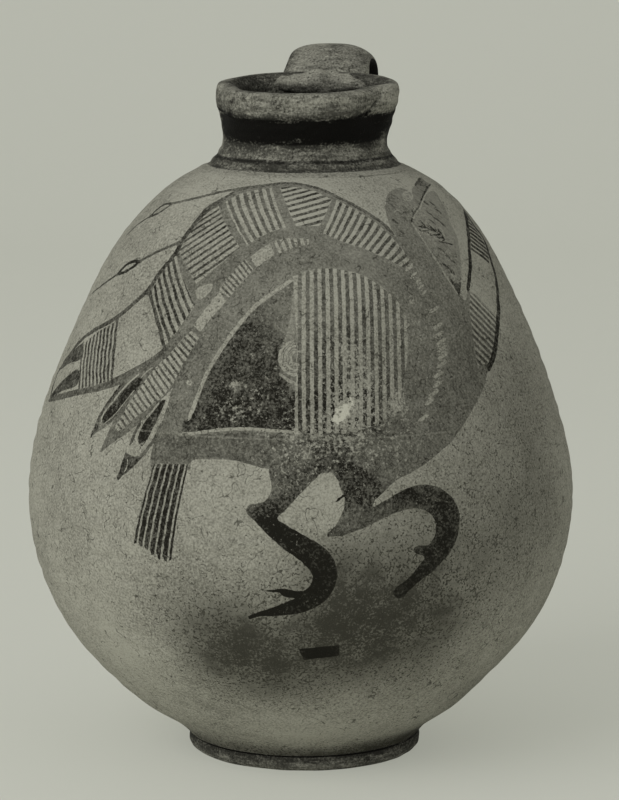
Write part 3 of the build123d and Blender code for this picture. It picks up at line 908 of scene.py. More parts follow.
    crest_bars = (Stroke((420.5, 178, 418.5, 181.5, 416.7, 185), 2.6, 0.85), Stroke((422.8, 181, 421.3, 185.5), 1.8,
        0.85), Stroke((425.6, 184, 425.2, 187), 2.0, 0.8), Stroke((416.5, 199.5, 418.6, 204), 3.0, 0.75))
    nick = Stroke((343.5, 495.5, 337, 500.5), 1.9, 0.98)
    strokes = (wing_edge, wing_top, bare_left, bare_right, tip_left, upper_tendril, upper_bud, upper_end,
        lower_tendril, lower_bud, lower_end, first_outer, left_tip, last_outer, last_inner, wing_inner, wing_outer,
        crest_edge, *chevrons, *flecks, *crest_bars, nick)

    field_arc = Stroke((189, 418, 195.8, 400.8, 205.3, 376.6, 219, 352.5, 234.6, 330, 253.5, 307.8, 269, 295.7,
        294.9, 277.6), 3.8, 0.95)
    field_floor = Stroke((182, 433.9, 196, 433, 221, 429.7, 245.8, 429, 270.7, 430.6, 298.9, 433), 3.0, 0.9)
    field_side = Stroke((281, 375, 289, 381, 296, 386, 296, 410, 296.5, 431), 2.6, 0.85)
    field_edge = Stroke((294.5, 281, 292, 311, 288, 331, 281.5, 349), 1.6, 0.5)
    outer_ring = Stroke(arc((297, 358), 17.5, 100, 255), 2.6)
    middle_ring = Stroke(arc((297, 358), 12, 95, 262), 2.3)
    inner_ring = Stroke(arc((297, 358), 6.5, 85, 275), 2.3)
    white_ring = Stroke(arc((189.4, 382.7), 2.2, 0, 360, 9), 1.6)
    eye = Stroke(arc((409, 196.2), 2.2, 0, 360, 9), 1.2, 0.9)
    eye_rim = Stroke(arc((409, 196.2), 4.9, 0, 360, 9), 1.2, 0.9)
    first_light = Stroke((138, 375, 130.5, 381.3, 122.8, 389, 115, 399, 107.4, 408, 102, 416.5, 101.2, 422), 1.7)
    first_thin = Stroke((133.5, 391, 127, 399.3, 120, 407.8, 112.4, 416.7, 105, 422.8), 1.2)
    quill = Stroke((152, 368, 147, 371.5, 141.5, 377), 1.2, 0.9)
    last_light = Stroke((169, 394, 165.5, 403, 162.5, 411, 159.5, 419, 155.5, 427, 151, 434.5, 146.6, 442.5,
        142.3, 450), 2.2)
    last_thin = Stroke((141.8, 427, 137.4, 434, 135, 441), 1.0, 0.8)
    tip_light = Stroke((127, 460.5, 126.6, 466, 124.6, 471), 1.3)
    shield_line = Stroke((413, 224, 422, 238, 438, 265, 456, 293), 2.2)
    dash_places = ((433.7, 309.5), (438, 325.8), (438.9, 334.5), (442.3, 341.3), (443, 349), (444, 356), (443, 364.6),
        (439.7, 375), (438.9, 384.4), (434.6, 393.9), (431, 401.6), (424.2, 418))
    dashes = tuple(Stroke((x - 3, y + 2, x + 3, y - 2), 3.3) for x, y in dash_places)
    cells = tuple(Stroke((x - size / 2, y + size / 2, x + size / 2, y - size / 2), size * 1.25) for x, y, size in
        cell_places)
    lit = tuple(Stroke(line, 1.5, 0.8) for line in ((423.5, 221.3, 430, 224.6, 437, 229), (438.5, 226.5, 443, 230.5,
        445.2, 236.5), (421, 228.8, 427.5, 229.6), (423.5, 233, 428.5, 234.6), (430, 232.8, 436, 233), (434.5, 237.4,
        441, 240.2), (395.5, 211.8, 398.5, 210.2, 401, 211.4)))
    gaps = (field_arc, field_floor, field_side, field_edge, outer_ring, middle_ring, inner_ring, white_ring, eye,
        eye_rim, first_light, first_thin, quill, last_light, last_thin, tip_light, shield_line, *dashes, *cells, *lit,
        crest_gap)

    worn = ((347, 412, 22, 0.38), (350, 352, 14, 0.35), (362, 380, 20, 0.35), (236, 384, 5, 0.5),
        (250, 400, 30, 0.14), (225, 412, 24, 0.14), (396, 405, 12, 0.5), (411, 300, 6, 0.4), (300, 440, 26, 0.22),
        (345, 440, 34, 0.3), (135, 451, 5, 0.8), (446, 250, 16, 0.2), (453, 277, 5, 0.7), (425, 222, 18, 0.2),
        (420, 330, 24, 0.12), (290, 470, 24, 0.16), (400, 440, 30, 0.14), (330, 510, 16, 0.16), (430, 500, 14, 0.1),
        (330, 330, 60, 0.1))
    faded = ((284, 296, 20, 0.4), (290, 320, 18, 0.3), (286, 330, 12, 0.2), (225, 408, 34, -0.1),
        (300, 250, 30, 0.04), (425, 330, 26, 0.1), (350, 460, 36, -0.2), (400, 430, 40, -0.16), (412, 205, 24, 0.34),
        (440, 244, 28, 0.12), (340, 345, 26, -0.2), (345, 400, 30, -0.4), (340, 420, 36, -0.45), (195, 350, 14, -0.1),
        (298, 195, 16, -0.1), (270, 525, 18, -0.8), (300, 545, 22, -0.75), (322, 580, 24, -0.75),
        (290, 606, 24, -0.7), (255, 616, 18, -0.8), (410, 490, 22, -0.3), (446, 510, 24, -0.36), (440, 545, 22, -0.4),
        (412, 578, 22, -0.5), (376, 486, 22, -0.2), (320, 652, 14, -0.8), (298, 482, 20, -0.2), (350, 500, 18, -0.2),
        (250, 440, 40, -0.1), (455, 370, 30, -0.1))
    chips = ((341, 415, 12, 0.58), (350, 407, 11, 0.44), (352, 400, 6, 0.3), (337, 420, 7, 0.3), (236, 384, 4.5, 0.6),
        (395, 405, 6, 0.45), (297, 368, 3, 0.5), (352, 388, 4, 0.4), (363, 402, 4, 0.4), (362, 420, 4, 0.4),
        (332, 436, 5, 0.36), (345, 436, 4, 0.4), (410, 299, 3, 0.5), (336, 345, 5, 0.4), (358, 350, 5, 0.36),
        (374, 378, 6, 0.36), (190, 382, 3, 0.6))
    # Soft clouds of soil and painted light. Above zero they darken the clay: soil low on the front, and darker down
    # the right side. Below zero they lighten it: a painted highlight on the shoulder, which faces up, and lighter in
    # places lower down.
    soil_and_light_spots = ((236, 644, 56, 0.5), (258, 668, 48, 0.42), (200, 636, 50, 0.3), (350, 606, 54, 0.46), (400, 608, 60, 0.4),
        (352, 640, 50, 0.35), (450, 600, 66, 0.35), (310, 640, 70, 0.4), (480, 540, 80, 0.22), (505, 450, 80, 0.18),
        (420, 660, 66, 0.3), (330, 560, 34, 0.3), (160, 600, 50, 0.1), (540, 500, 80, 0.2), (520, 380, 60, 0.2),
        (300, 690, 50, 0.15), (470, 690, 56, 0.25), (410, 530, 44, 0.2), (90, 460, 70, 0.06), (230, 530, 50, -0.1),
        (300, 176, 50, -0.55), (210, 180, 40, -0.3), (420, 190, 40, -0.5), (365, 232, 34, -0.55),
        (310, 208, 26, -0.5), (245, 215, 30, -0.3), (300, 736, 60, -0.4), (130, 650, 50, -0.35),
        (350, 285, 36, -0.35), (455, 240, 30, -0.4), (330, 505, 22, -0.35), (480, 300, 24, -0.4),
        (478, 250, 20, -0.4))

    def on(self, body: Body, outline: Array, strength: float = 1.0) -> dict[str, Array]:
        """Paints the bird on a piece of the wall, with its soft clouds and the painted shade over the foot.

        Args:
            body: The body, whose outside is the canvas.
            outline: The piece's outline, of which only the part on the body's outside is painted.
            strength: How much of each tone the piece takes.

        Returns:
            The marks of the piece's grid of points.
        """
        outer = np.abs(outline[:, 0] - body.radius_at(outline[:, 1])) < self.skin
        turn = np.angle(np.exp(1j * (body.angles - math.radians(VIEW.turn))))
        rows, columns = np.nonzero(outer[:, None] & (np.abs(turn) < math.radians(self.reach)))
        canvas = Canvas(body, turn[columns], body.length_at(outline[rows, 1]))
        for patch in self.fills:
            canvas.fill(patch)
        for stripes, group in self.hatchings.items():
            for hatching in group:
                canvas.hatch(hatching, stripes)
        for patch in self.bares:
            canvas.bare(patch)
        for line, group in {Line.DARK: self.strokes, Line.LIGHT: self.gaps}.items():
            for stroke in group:
                canvas.draw(stroke, line)
        clouds = {Cloud.WEAR: self.worn, Cloud.FADE: self.faded, Cloud.GRIME: self.soil_and_light_spots, Cloud.CHIP: self.chips}
        for cloud, group in clouds.items():
            for spot in group:
                canvas.cloud(cloud, spot)
        marks = {}
        for name, value in canvas.marks.items():
            marks[name] = np.full((len(outline), len(body.angles)), blank(name))
            marks[name][rows, columns] = value * (strength if name.endswith("tone") else 1.0)
        # Painted shade low on the wall just over the foot, deeper on the right, where less light falls.
        foot_shade = 1.0 + self.foot_shade_side * np.sin(body.angles)
        marks["grime"] += foot_shade * bell(outline[:, 1:] - body.foot_height, self.foot_shade_height)
        return marks


@dataclass
class Foot:
    """The ring foot and the slip that holds it."""

    radius: float = 51.0  # in millimetres
    width: float = 10.5
    height: float = 7.0
    slip: float = 0.8  # its thickness
    edge: float = 1.4  # how far the lower edges are eased
    lift: float = 0.05  # so that the ring and the floor don't lie in one plane
    swell: Pair = (0.5, 3.2)  # how far the outside swells, and at which height
    bulge: float = 0.15  # of the slip's outside
    low_cover: float = 0.64  # how dark the ring is at the floor, as a cover of paint
    top_cover_and_shade: float = 0.95  # and under the body, deeper there with painted shade
    # The slip's cover, darkest, as painted shade right under the body.
    slip_cover_and_shade: float = 1.25
    columns: int = 300
    chips: Unevenness = Unevenness(seed=21, shortest=9, longest=40, depth=0.22)  # how unevenly the ring is worn

    def __post_init__(self) -> None:
        """Spaces the columns."""
        self.angles = all_round(self.columns)

    def ring(self) -> Sheet:
        """The ring: a swollen outside, eased lower edges and a flat top, worn unevenly."""
        top, low, inner = self.height - self.slip, self.lift, self.radius - self.width
        corner, swollen = (self.radius, top), (self.radius + self.swell[0], self.swell[1])
        outer_edge, inner_edge = (self.radius - self.edge, low), (inner + self.edge, low)
        outside = smooth_curve(np.array([outer_edge, (self.radius, self.edge), swollen, corner]), count=12)
        over = even_steps([corner, (inner, top)], count=6)
        inside = even_steps([(inner, top), (inner, self.edge), inner_edge], count=8)
        rest = even_steps([inner_edge, outer_edge], count=6)
        outline = joined(outside, over, inside, rest)[:-1]
        points = turned(outline, self.angles)
        free = np.clip((top - points[..., 2]) / top, 0, 1)[..., None]
        chipped = outward(outline, self.angles) * self.chips.at(points)[..., None] * free
        # Darker towards the top, as painted shade under the body.
        cover = np.interp(outline[:, 1], (0, top), (self.low_cover, self.top_cover_and_shade))[:, None]
        return Sheet(STANCE.leaned(points) + chipped, marks={"cover": np.broadcast_to(cover, points.shape[:2])})

    def layer(self) -> Sheet:
        """The slip: a flat ring that swells a little on its outside."""
        top, inner = self.height, self.radius - self.width
        low = top - self.slip
        middle = (self.radius + self.bulge, (low + top) / 2)
        outline = np.array([(self.radius, low), middle, (self.radius, top), (inner, top), (inner, low)])
        points = STANCE.leaned(turned(outline, self.angles))
        return Sheet(points, marks={"cover": np.full(points.shape[:2], self.slip_cover_and_shade)})

    def build(self, paint: Material) -> None:
        """Makes the ring and its slip, which the dark band covers, with painted shade deepest under the body."""
        show(self.ring(), "turned_ring_foot", "foot_ring", paint)
        show(self.layer(), "slip_over_foot", "foot_slip", paint)


@dataclass
class Neck:
    """The waisted neck with its thick, pinched rim, and the slip under it.

    Angles are degrees from the front. A cover says how much of the dark band's paint is there, with
    painted shade under the rim and in the creases, and a painted highlight on the rim's right lobe.
    """

    seat_radius: float = 46.0  # where the neck sits on the shoulder, in millimetres
    seat_height: float = 258.8
    throat_radius: float = 35.8  # the smallest
    throat_height: float = 270.0
    wall: float = 5.0
    rim_seat_radius: float = 39.7
    rim_seat: float = 283.4  # the height at which the rim sits
    rim_radius: float = 40.8
    bore: float = 32.2  # the rim's inner radius
    rim_height: float = 11.6
    tilt: float = 3.4  # how far the rim leans forwards, in degrees
    pinch_depth: float = 3.8  # how deep the rim is pressed in at both sides
    pinch_angle: float = 66.0
    pinch_width: float = 18.0
    bead: float = 0.9  # how far the bead round the base stands out
    bead_width: float = 1.5
    ridges: Rows = ((0.30, 1.0), (0.62, 0.55))  # shares of the way up to the throat, and of the bead's stand
    slip: float = 0.8  # its thickness
    eased: float = 1.4  # how far the slip slopes in
    bulge: float = 0.1  # how far its outside swells
    columns: int = 420
    # Shares of the change in radius and in height: up to the throat, then to the rim, then round the rim.
    neck_shares: Rows = ((0.42, 0.14), (0.66, 0.34), (0.86, 0.56), (0.97, 0.78))
    taper: Rows = ((0.05, 0.12), (0.3, 0.36), (0.62, 0.68))
    roll: Rows = (
        (0.86, 0.0), (0.95, 0.15), (1.0, 0.42), (0.97, 0.76), (0.84, 0.95), (0.58, 1.0), (0.36, 1.0), (0.14, 0.86),
        (0.0, 0.5), (0.0, 0.0),
    )
    # The band's paint by height; the densest covers, under the rim, are painted shade where the rim overhangs the
    # throat.
    band_heights: Row = (259.3, 259.7, 262.6, 263.2, 263.9, 264.6, 267.0, 270.4, 274.5, 281.6, 283.4)
    band_covers_and_shade: Row = (-1.0, 0.9, 0.8, 1.0, 1.04, 0.74, 0.8, 0.98, 1.4, 1.5, 1.2)
    rubbed: Rows = ((-82.0, 13.0, 0.62), (84.0, 8.0, 0.3))  # angle, width and strength
    rub_reach: float = 4.0  # how far below the throat
    # The rim's paint by height, with painted shade: darkest at its lower edge over the shaded throat, and lighter up
    # to its top, which faces the light.
    rim_heights: Row = (283.4, 285.0, 287.0, 291.0, 293.5, 295.0)
    rim_covers_and_shade: Row = (1.15, 0.92, 0.72, 0.62, 0.5, 0.4)
    bore_cover: float = 0.85
    outside: Pair = (0.3, 0.8)  # where the rim's outside begins and is whole, as shares of its width
    # A painted highlight on the rim's right lobe, where it catches the side light: angle, width and strength.
    right_lobe_highlight: Rows = ((84.0, 15.0, 0.5),)
    # Painted shade in the crease of the rim's left pinch: angle, width and strength.
    left_pinch_shade: Rows = ((-65.0, 16.0, 0.12),)
    # The angle and height of both ends of each, its width and its depth.
    creases: Rows = (
        (58.0, 284.0, 78.0, 294.5, 1.0, 0.9), (50.0, 283.6, 58.0, 285.6, 1.2, 0.5),
        (-37.0, 294.0, -44.5, 283.8, 2.2, 0.45),
    )
    crease_shade: float = 0.42  # the painted shade that a millimetre of a crease adds to the cover
    thumbed: Unevenness = Unevenness(seed=33, shortest=14, longest=60, depth=0.34)  # what thumbs left
    rolled: Unevenness = Unevenness(seed=35, shortest=3.5, longest=10, depth=0.09, flatten=7)  # what fingers left

    def __post_init__(self) -> None:
        """Spaces the columns."""
        self.angles = all_round(self.columns)

    def pinch(self, angle: Array) -> Array:
        """How deep the rim is pressed in at an angle: one bell curve at each side of the front."""
        return bells(from_front(angle), tuple((side * self.pinch_angle, self.pinch_width, 1.0) for side in (-1, 1)))

    def pressed(self, outline: Array) -> Array:
        """Turns an outline and lets it follow the rim more and more above the throat.

        The share s climbs from 0 at the throat to 1 at the rim's seat. A point moves in by s times the
        pinch, and its height changes by s r cos(a) sin(tilt), so the front comes down.

        Args:
            outline: Radii and heights.

        Returns:
            Rows by columns of points.
        """
        share = np.clip((outline[:, 1:] - self.throat_height) / (self.rim_seat - self.throat_height), 0, 1)
        radius = outline[:, :1] - share * self.pinch_depth * self.pinch(self.angles)
        slope = math.sin(math.radians(self.tilt)) * share
        height = outline[:, 1:] - slope * radius * np.cos(self.angles)
        points = np.stack([radius * np.sin(self.angles), -radius * np.cos(self.angles), height], axis=-1)
        rough = self.thumbed.at(points) * share + self.rolled.at(points)
        return STANCE.leaned(points) + outward(outline, self.angles) * rough[..., None]

    def neck(self) -> Sheet:
        """The neck: out of its seat, round the bead, in to the throat and out to the rim, then back inside."""
        seat, throat = (self.seat_radius - self.eased, self.seat_height), (self.throat_radius, self.throat_height)
        rim_seat, inner_rim_seat = (self.rim_seat_radius, self.rim_seat), (self.bore, self.rim_seat)
        inner_seat = (self.seat_radius - self.wall, self.seat_height)
        inner_throat = (self.throat_radius - self.wall, self.throat_height)
        rising, falling = between(seat, throat, self.neck_shares), between(throat, rim_seat, self.taper)
        outside = smooth_curve(np.concatenate([[seat], rising, [throat], falling, [rim_seat]]), count=70)
        height = outside[:, 1]
        for share, stand in self.ridges:
            centre = self.seat_height + share * (self.throat_height - self.seat_height)
            outside[:, 0] += self.bead * stand * bell(height - centre, self.bead_width)
        over = even_steps([rim_seat, inner_rim_seat], count=5)
        inside = smooth_curve(np.array([inner_rim_seat, inner_throat, inner_seat]), count=20)
        under = even_steps([inner_seat, seat], count=4)
        outline = joined(outside, over, inside, under)[:-1]
        # The band's paint, with painted shade under the rim.
        cover = np.interp(outline[:, 1], self.band_heights, self.band_covers_and_shade)[:, None]
        rubbed = bells(from_front(self.angles), self.rubbed) * (outline[:, 1:] > self.throat_height - self.rub_reach)
        return Sheet(self.pressed(outline), marks={"cover": cover - rubbed})

    def rim_outline(self) -> Array:
        """The rim's outline: a thick roll of clay that stands proud of the neck below."""
        seat, brow = (self.bore, self.rim_seat), (self.rim_radius, self.rim_seat + self.rim_height)
        roll = smooth_curve(between(seat, brow, self.roll), count=56)
        return joined(roll, even_steps([roll[-1], roll[0]], count=7))[:-1]

    def rim(self) -> Sheet:
        """The rim, with the creases that folded where the soft roll was pressed in, and painted shade in them."""
        outline = self.rim_outline()
        points, face, degrees = self.pressed(outline), outward(outline, self.angles), from_front(self.angles)
        begins, whole = self.outside
        share = (outline[:, :1] - self.bore) / (self.rim_radius - self.bore)
        outer = np.clip((share - begins) / (whole - begins), 0, 1)
        # The rim's paint, with painted shade darkest at its lower edge.
        cover = np.interp(outline[:, 1], self.rim_heights, self.rim_covers_and_shade)[:, None]
        cover = cover * outer + self.bore_cover * (1 - outer)
        # Lighter on the right lobe as a painted highlight, darker at the left pinch as painted shade.
        cover = cover - bells(degrees, self.right_lobe_highlight) * outer + bells(degrees, self.left_pinch_shade)
        for low_angle, low, high_angle, high, width, depth in self.creases:
            x, y = np.radians(degrees - low_angle) * self.rim_radius, outline[:, 1:] - low
            dx, dy = math.radians(high_angle - low_angle) * self.rim_radius, high - low
            along = np.clip((x * dx + y * dy) / (dx * dx + dy * dy), 0, 1)
            fold = bell(np.hypot(x - along * dx, y - along * dy), width) * outer * depth
            points = points - face * fold[..., None]
            # Painted shade in each crease, as deep as the crease.
            cover = cover + fold * self.crease_shade
        return Sheet(points, marks={"cover": cover})

    def layer(self) -> Sheet:
        """The slip between the neck and the shoulder, which slopes in from one to the other."""
        low, top = self.seat_height - self.slip, self.seat_height
        inner, eased = self.seat_radius - self.wall, self.seat_radius - self.eased
        middle = ((self.seat_radius + eased) / 2 + self.bulge, (low + top) / 2)
        outline = np.array([(self.seat_radius, low), middle, (eased, top), (inner, top), (inner, low)])
        return Sheet(self.pressed(outline))

    def build(self, paint: Material, clay: Material) -> None:
        """Makes the neck, the rim and the slip."""
        show(self.layer(), "slip_under_neck", "neck_slip", clay)
        show(self.neck(), "waisted_neck", "neck", paint)
        show(self.rim(), "rolled_rim", "rim", paint)


@dataclass
class Handle:
    """The strap handle at the back, the fold of clay over the lip and the collar round its foot.

    A cover says how much of the dark band's paint is there, with painted shade on the strap's inner face.
    """

    body: Body
    neck: Neck
    rise: float = 13.5  # of the crest over the lip, in millimetres
    crest_reach: float = 57.0  # from the axis
    bend_reach: float = 84.8  # the farthest
    foot: Pair = (84.8, 219.3)  # radius and height at which it meets the shoulder
    width: float = 35.0
    root_width: float = 39.0
    foot_width: float = 41.0
    thickness: float = 9.6
    foot_thickness: float = 13.0
    root_depth: float = 2.5  # how far from the bore its middle line starts
    climb: Rows = ((0.0, 0.0), (0.28, 0.5), (0.6, 0.86))  # from the root to the crest, as shares of the way
    descent: Rows = ((0.0, 0.0), (0.52, 0.08), (0.86, 0.36), (1.0, 1.0))  # and on to the bend
    tuck: float = 0.35  # how far it runs on into the shoulder, as a share of its last stretch
    steps: int = 150
    around: int = 96
    # Shares of the route, and how much of the extra width the strap has there.
    root_flare: Rows = ((0.0, 0.12, 0.26, 0.42), (1.0, 0.5, 0.06, 0.0))
    foot_flare: Rows = ((0.6, 0.74, 0.87, 1.0), (0.0, 0.1, 0.5, 1.0))
    tip_from: float = 0.88  # the share of the route from which the hidden end closes
    tip_least: float = 0.03  # the square of the thickness that it keeps, as a share
    tip_width: float = 0.55  # the share of its width that it keeps
    groove: float = 0.7  # how deep the groove down the outer face is
    groove_width: float = 6.5
    crown: float = 1.1  # how far both edges fall away in the upper stretch
    sag: float = 0.9  # how much farther one of them falls
    crowned: Pair = (0.62, 0.2)  # the share of the route at which that has gone, and the length over which it goes
    set_in: float = 3.0  # how deep the strap may lie in the shoulder
    set_in_from: float = 4.0  # how far under the shoulder's top that begins
    outer_cover: Rows = ((215.0, 240.0, 262.0), (0.0, 0.2, 0.46))  # heights, and the cover there
    inner_face_shade: Rows = ((244.0, 262.0), (0.0, 0.95))  # the painted shade that the inner face has on top, as it lies in shadow
    shaded_face_sine: float = 0.05  # the sine below which a point is on the inner face and takes that painted shade
    edge_cover: Pair = (0.4, 0.16)  # what the left edge has on top, and its width
    chip: tuple[float, float, float, float] = (0.5, 8.0, 305.0, 6.0)  # of the crest: strength, width, height, size
    fold_angle: float = 41.0  # how far the fold reaches round from the back, in degrees
    fold_depth: float = 13.0
    fold_height: float = 11.0
    fold_drop: float = 3.5  # how far its middle lies under the top of the lip
    fold_end: float = 0.05  # its size e at both ends, as a share
    fold_powers: Pair = (2.2, 0.85)  # p and q: at the share s from the middle its size is e + (1 - e) (1 - s^p)^q
    fold_halves: Pair = (0.8, 1.1)  # how high the upper and the lower half are, as shares
    fold_flare: float = 1.5  # how far its ends stand out
    fold_sag: float = 1.6  # how far they hang down
    fold_cover: Rows = ((-7.0, -3.0, -0.5, 1.0), (0.85, 0.55, 0.2, 0.12))  # heights, and the cover there
    collar_width: float = 52.0
    collar_length: float = 42.0  # down the slope
    collar_rise: float = 5.0
    collar_sunk: float = 1.2  # how deep its underside lies in the wall
    collar_hub: float = 0.02  # the share of its size at which the rings close on a point
    collar_smear: float = 1.4  # how much of the smearing its top takes
    pulled: Unevenness = Unevenness(seed=41, shortest=16, longest=55, depth=0.3)
    smeared: Unevenness = Unevenness(seed=47, shortest=5, longest=26, depth=0.45)

    def route(self) -> Array:
        """The strap's middle line in the plane of the axis, as distances from the axis and heights."""
        lip = self.neck.rim_seat + self.neck.rim_height
        root = (self.neck.bore + self.root_depth, self.neck.rim_seat + self.neck.rim_height / 2)
        crest = (self.crest_reach, lip + self.rise - self.thickness / 2)
        bend = (self.bend_reach, (crest[1] + self.foot[1]) / 2)
        foot = np.array(self.foot)
        tuck = foot + (foot - np.array(bend)) * self.tuck
        up, down = between(root, crest, self.climb), between(crest, bend, self.descent)
        return smooth_curve(np.concatenate([up, down, [foot], [tuck]]), count=self.steps)

    def sizes(self) -> tuple[Array, Array]:
        """The strap's width and thickness along the route: wider at both ends, and closed inside the wall."""
        share = np.linspace(0, 1, self.steps)
        root, foot = np.interp(share, *self.root_flare), np.interp(share, *self.foot_flare)
        width = self.width + root * (self.root_width - self.width) + foot * (self.foot_width - self.width)
        thick = self.thickness + foot * (self.foot_thickness - self.thickness)
        closing = np.clip(share - self.tip_from, 0, 1) / (1 - self.tip_from)
        tip = np.sqrt(np.clip(1 - closing**2, self.tip_least, 1))
        return (width * (self.tip_width + (1 - self.tip_width) * tip))[:, None], (thick * tip)[:, None]

    def strap(self) -> Sheet:
        """The strap: an oval carried along the route, wider at both ends.

        The oval's point at angle t is w/2 cos(t) across and h/2 sin(t) out, with a shallow groove down the
        middle of its outer face, and what lies too deep in the shoulder is moved out to the set-in depth.
        """
        route, turn = self.route(), all_round(self.around)
        way = unit(np.gradient(route, axis=0))
        sine, cosine = np.sin(turn), np.cos(turn)
        width, thick = self.sizes()
        across, out = width / 2 * cosine, thick / 2 * sine
        ends, over = self.crowned
        crown = np.clip((ends - np.linspace(0, 1, self.steps)) / over, 0, 1)[:, None]
        out = out - self.groove * bell(across, self.groove_width) * (sine > 0) * sine**2 * (1 - crown)
        edge = cosine * width / self.width
        out = out - crown * (self.crown * edge**2 + self.sag * edge)
        points = np.stack([across, route[:, :1] - way[:, 1:] * out, route[:, 1:] + way[:, :1] * out], axis=-1)
        level = np.broadcast_to(cosine, across.shape)
        ways = np.stack([level, -way[:, 1:] * sine, way[:, :1] * sine], axis=-1)
        points = self.kept_in_wall(points + ways * self.pulled.at(points)[..., None])
        height = points[..., 2]
        more, edge_width = self.edge_cover
        cover = np.interp(height, *self.outer_cover) + more * bell(cosine + 1, edge_width)
        # Painted shade on the strap's inner face, which lies in shadow behind the crest.
        cover = cover + np.interp(height, *self.inner_face_shade) * (sine < self.shaded_face_sine)
        strength, chip_width, chip_height, chip_size = self.chip
        chip = strength * bell(points[..., 0], chip_width) * bell(height - chip_height, chip_size)
        return Sheet(STANCE.leaned(points), ring=False, marks={"cover": cover, "chip": chip})

    def kept_in_wall(self, points: Array) -> Array:
        """Moves points that lie deeper in the shoulder than the set-in depth out to that depth.

        The depth of a point is (r(h) - its distance from the axis) times the cosine of the wall's slope.

        Args:
            points: Points in millimetres.

        Returns:
            The same points, none of them too deep.
        """
        distance, height = np.hypot(points[..., 0], points[..., 1]), points[..., 2]
        out, up = self.body.facing(height)
        depth = (self.body.radius_at(height) - distance) * out
        below = (height < self.body.shoulder_height - self.set_in_from) & (depth > self.set_in)
        move = np.where(below, depth - self.set_in, 0.0)
        level = points[..., :2] / np.maximum(distance, TINY)[..., None]
        push = np.concatenate([level * out[..., None], up[..., None]], axis=-1)
        return points + push * move[..., None]

    def fold(self) -> Sheet:
        """The fold over the back of the lip: a bent roll, thick in its middle and thin at both ends."""
        lip = self.neck.rim_seat + self.neck.rim_height
        way, turn = np.linspace(-1, 1, 72)[:, None], all_round(48)
        sine, cosine = np.sin(turn), np.cos(turn)
        angle = np.radians(self.fold_angle) * way
        first, second = self.fold_powers
        size = self.fold_end + (1 - self.fold_end) * (1 - np.abs(way) ** first) ** second
        out = self.neck.bore + size * self.fold_depth / 2 * cosine + self.fold_flare * way**2
        half = np.where(sine > 0, *self.fold_halves) * sine
        up = size * self.fold_height / 2 * half - self.fold_drop - self.fold_sag * way**2
        slope = math.sin(math.radians(self.neck.tilt))
        x, y = -out * np.sin(angle), out * np.cos(angle)
        points = np.stack([x, y, lip + up + slope * y], axis=-1)
        steep = np.broadcast_to(sine, x.shape)
        face = np.stack([-cosine * np.sin(angle), cosine * np.cos(angle), steep], axis=-1)
        points = points + face * self.smeared.at(points)[..., None]
        return Sheet(STANCE.leaned(points), ring=False, marks={"cover": np.interp(up, *self.fold_cover)})

    def collar(self) -> Sheet:
        """The collar: an oval pad on the shoulder's slope.

        At the share s from its middle it stands c sqrt(1 - s^2) over the shoulder, and its underside lies
        a little way in the wall.
        """
        turn = all_round(144)
        top, under = np.sin(np.linspace(self.collar_hub, math.pi / 2, 26)), np.linspace(1, self.collar_hub, 12)
        share = np.concatenate([top, under])[:, None]
        stand = self.collar_rise * np.sqrt(1 - top**2)
        rise = np.concatenate([stand, np.full(len(under), -self.collar_sunk)])[:, None]
        across = share * self.collar_width / 2 * np.cos(turn)
        along = share * self.collar_length / 2 * np.sin(turn) + self.body.length_at(self.foot[1])
        height = np.interp(along, self.body.length, self.body.line[:, 1])
        radius = self.body.radius_at(height)
        out, up = self.body.facing(height)
        reach, angle = radius + rise * out, across / radius
        points = np.stack([reach * np.sin(angle), reach * np.cos(angle), height + rise * up], axis=-1)
        free = np.clip(rise / self.collar_rise, 0, 1)
        points[..., 2] += self.smeared.at(points) * free * self.collar_smear
        return Sheet(STANCE.leaned(points), ring=False)

    def build(self, paint: Material, clay: Material) -> None:
        """Makes the strap, the fold and the collar."""
        show(self.strap(), "strap_handle", "handle", paint)
        show(self.fold(), "fold_over_lip", "handle_fold", paint)
        show(self.collar(), "collar_round_handle_foot", "handle_collar", clay)


def add_node(tree: Tree, kind: str, settings: dict, *feeds: object) -> Node:
    """Adds one node with its settings and links.

    Args:
        tree: The material's nodes.
        kind: The node's type without its first word.
        settings: Properties by name, and what goes into inputs by name or number.
        *feeds: What goes into the first inputs, in order: a node, a socket or a value.

    Returns:
        The new node.
    """
    node = tree.nodes.new(f"ShaderNode{kind}")
    for key, value in (settings | dict(enumerate(feeds))).items():
        if isinstance(value, Node):
            value = next(socket for socket in value.outputs if socket.enabled)
        if isinstance(value, Socket):
            tree.links.new(value, node.inputs[key])
        elif isinstance(key, str) and hasattr(node, key):
            setattr(node, key, value)
        else:
            node.inputs[key].default_value = value
    return node


def new_material(name: str) -> tuple[Material, partial]:
    """An empty material, and the function that adds a node to it."""
    material = bpy.data.materials.new(name)
    material.use_nodes = True
    material.node_tree.nodes.clear()
    return material, partial(add_node, material.node_tree)


def per_metre(size: float) -> float:
    """The texture scale at which a pattern repeats about once in a size given in millimetres."""
    return 1000 / size


SUM, LESS, TIMES = {"operation": "ADD"}, {"operation": "SUBTRACT"}, {"operation": "MULTIPLY"}
MOST, SIZE, SMOOTH = {"operation": "MAXIMUM"}, {"operation": "ABSOLUTE"}, {"interpolation_type": "SMOOTHSTEP"}
TIMES_PLUS, COLOURS = {"operation": "MULTIPLY_ADD"}, {"data_type": "RGBA"}


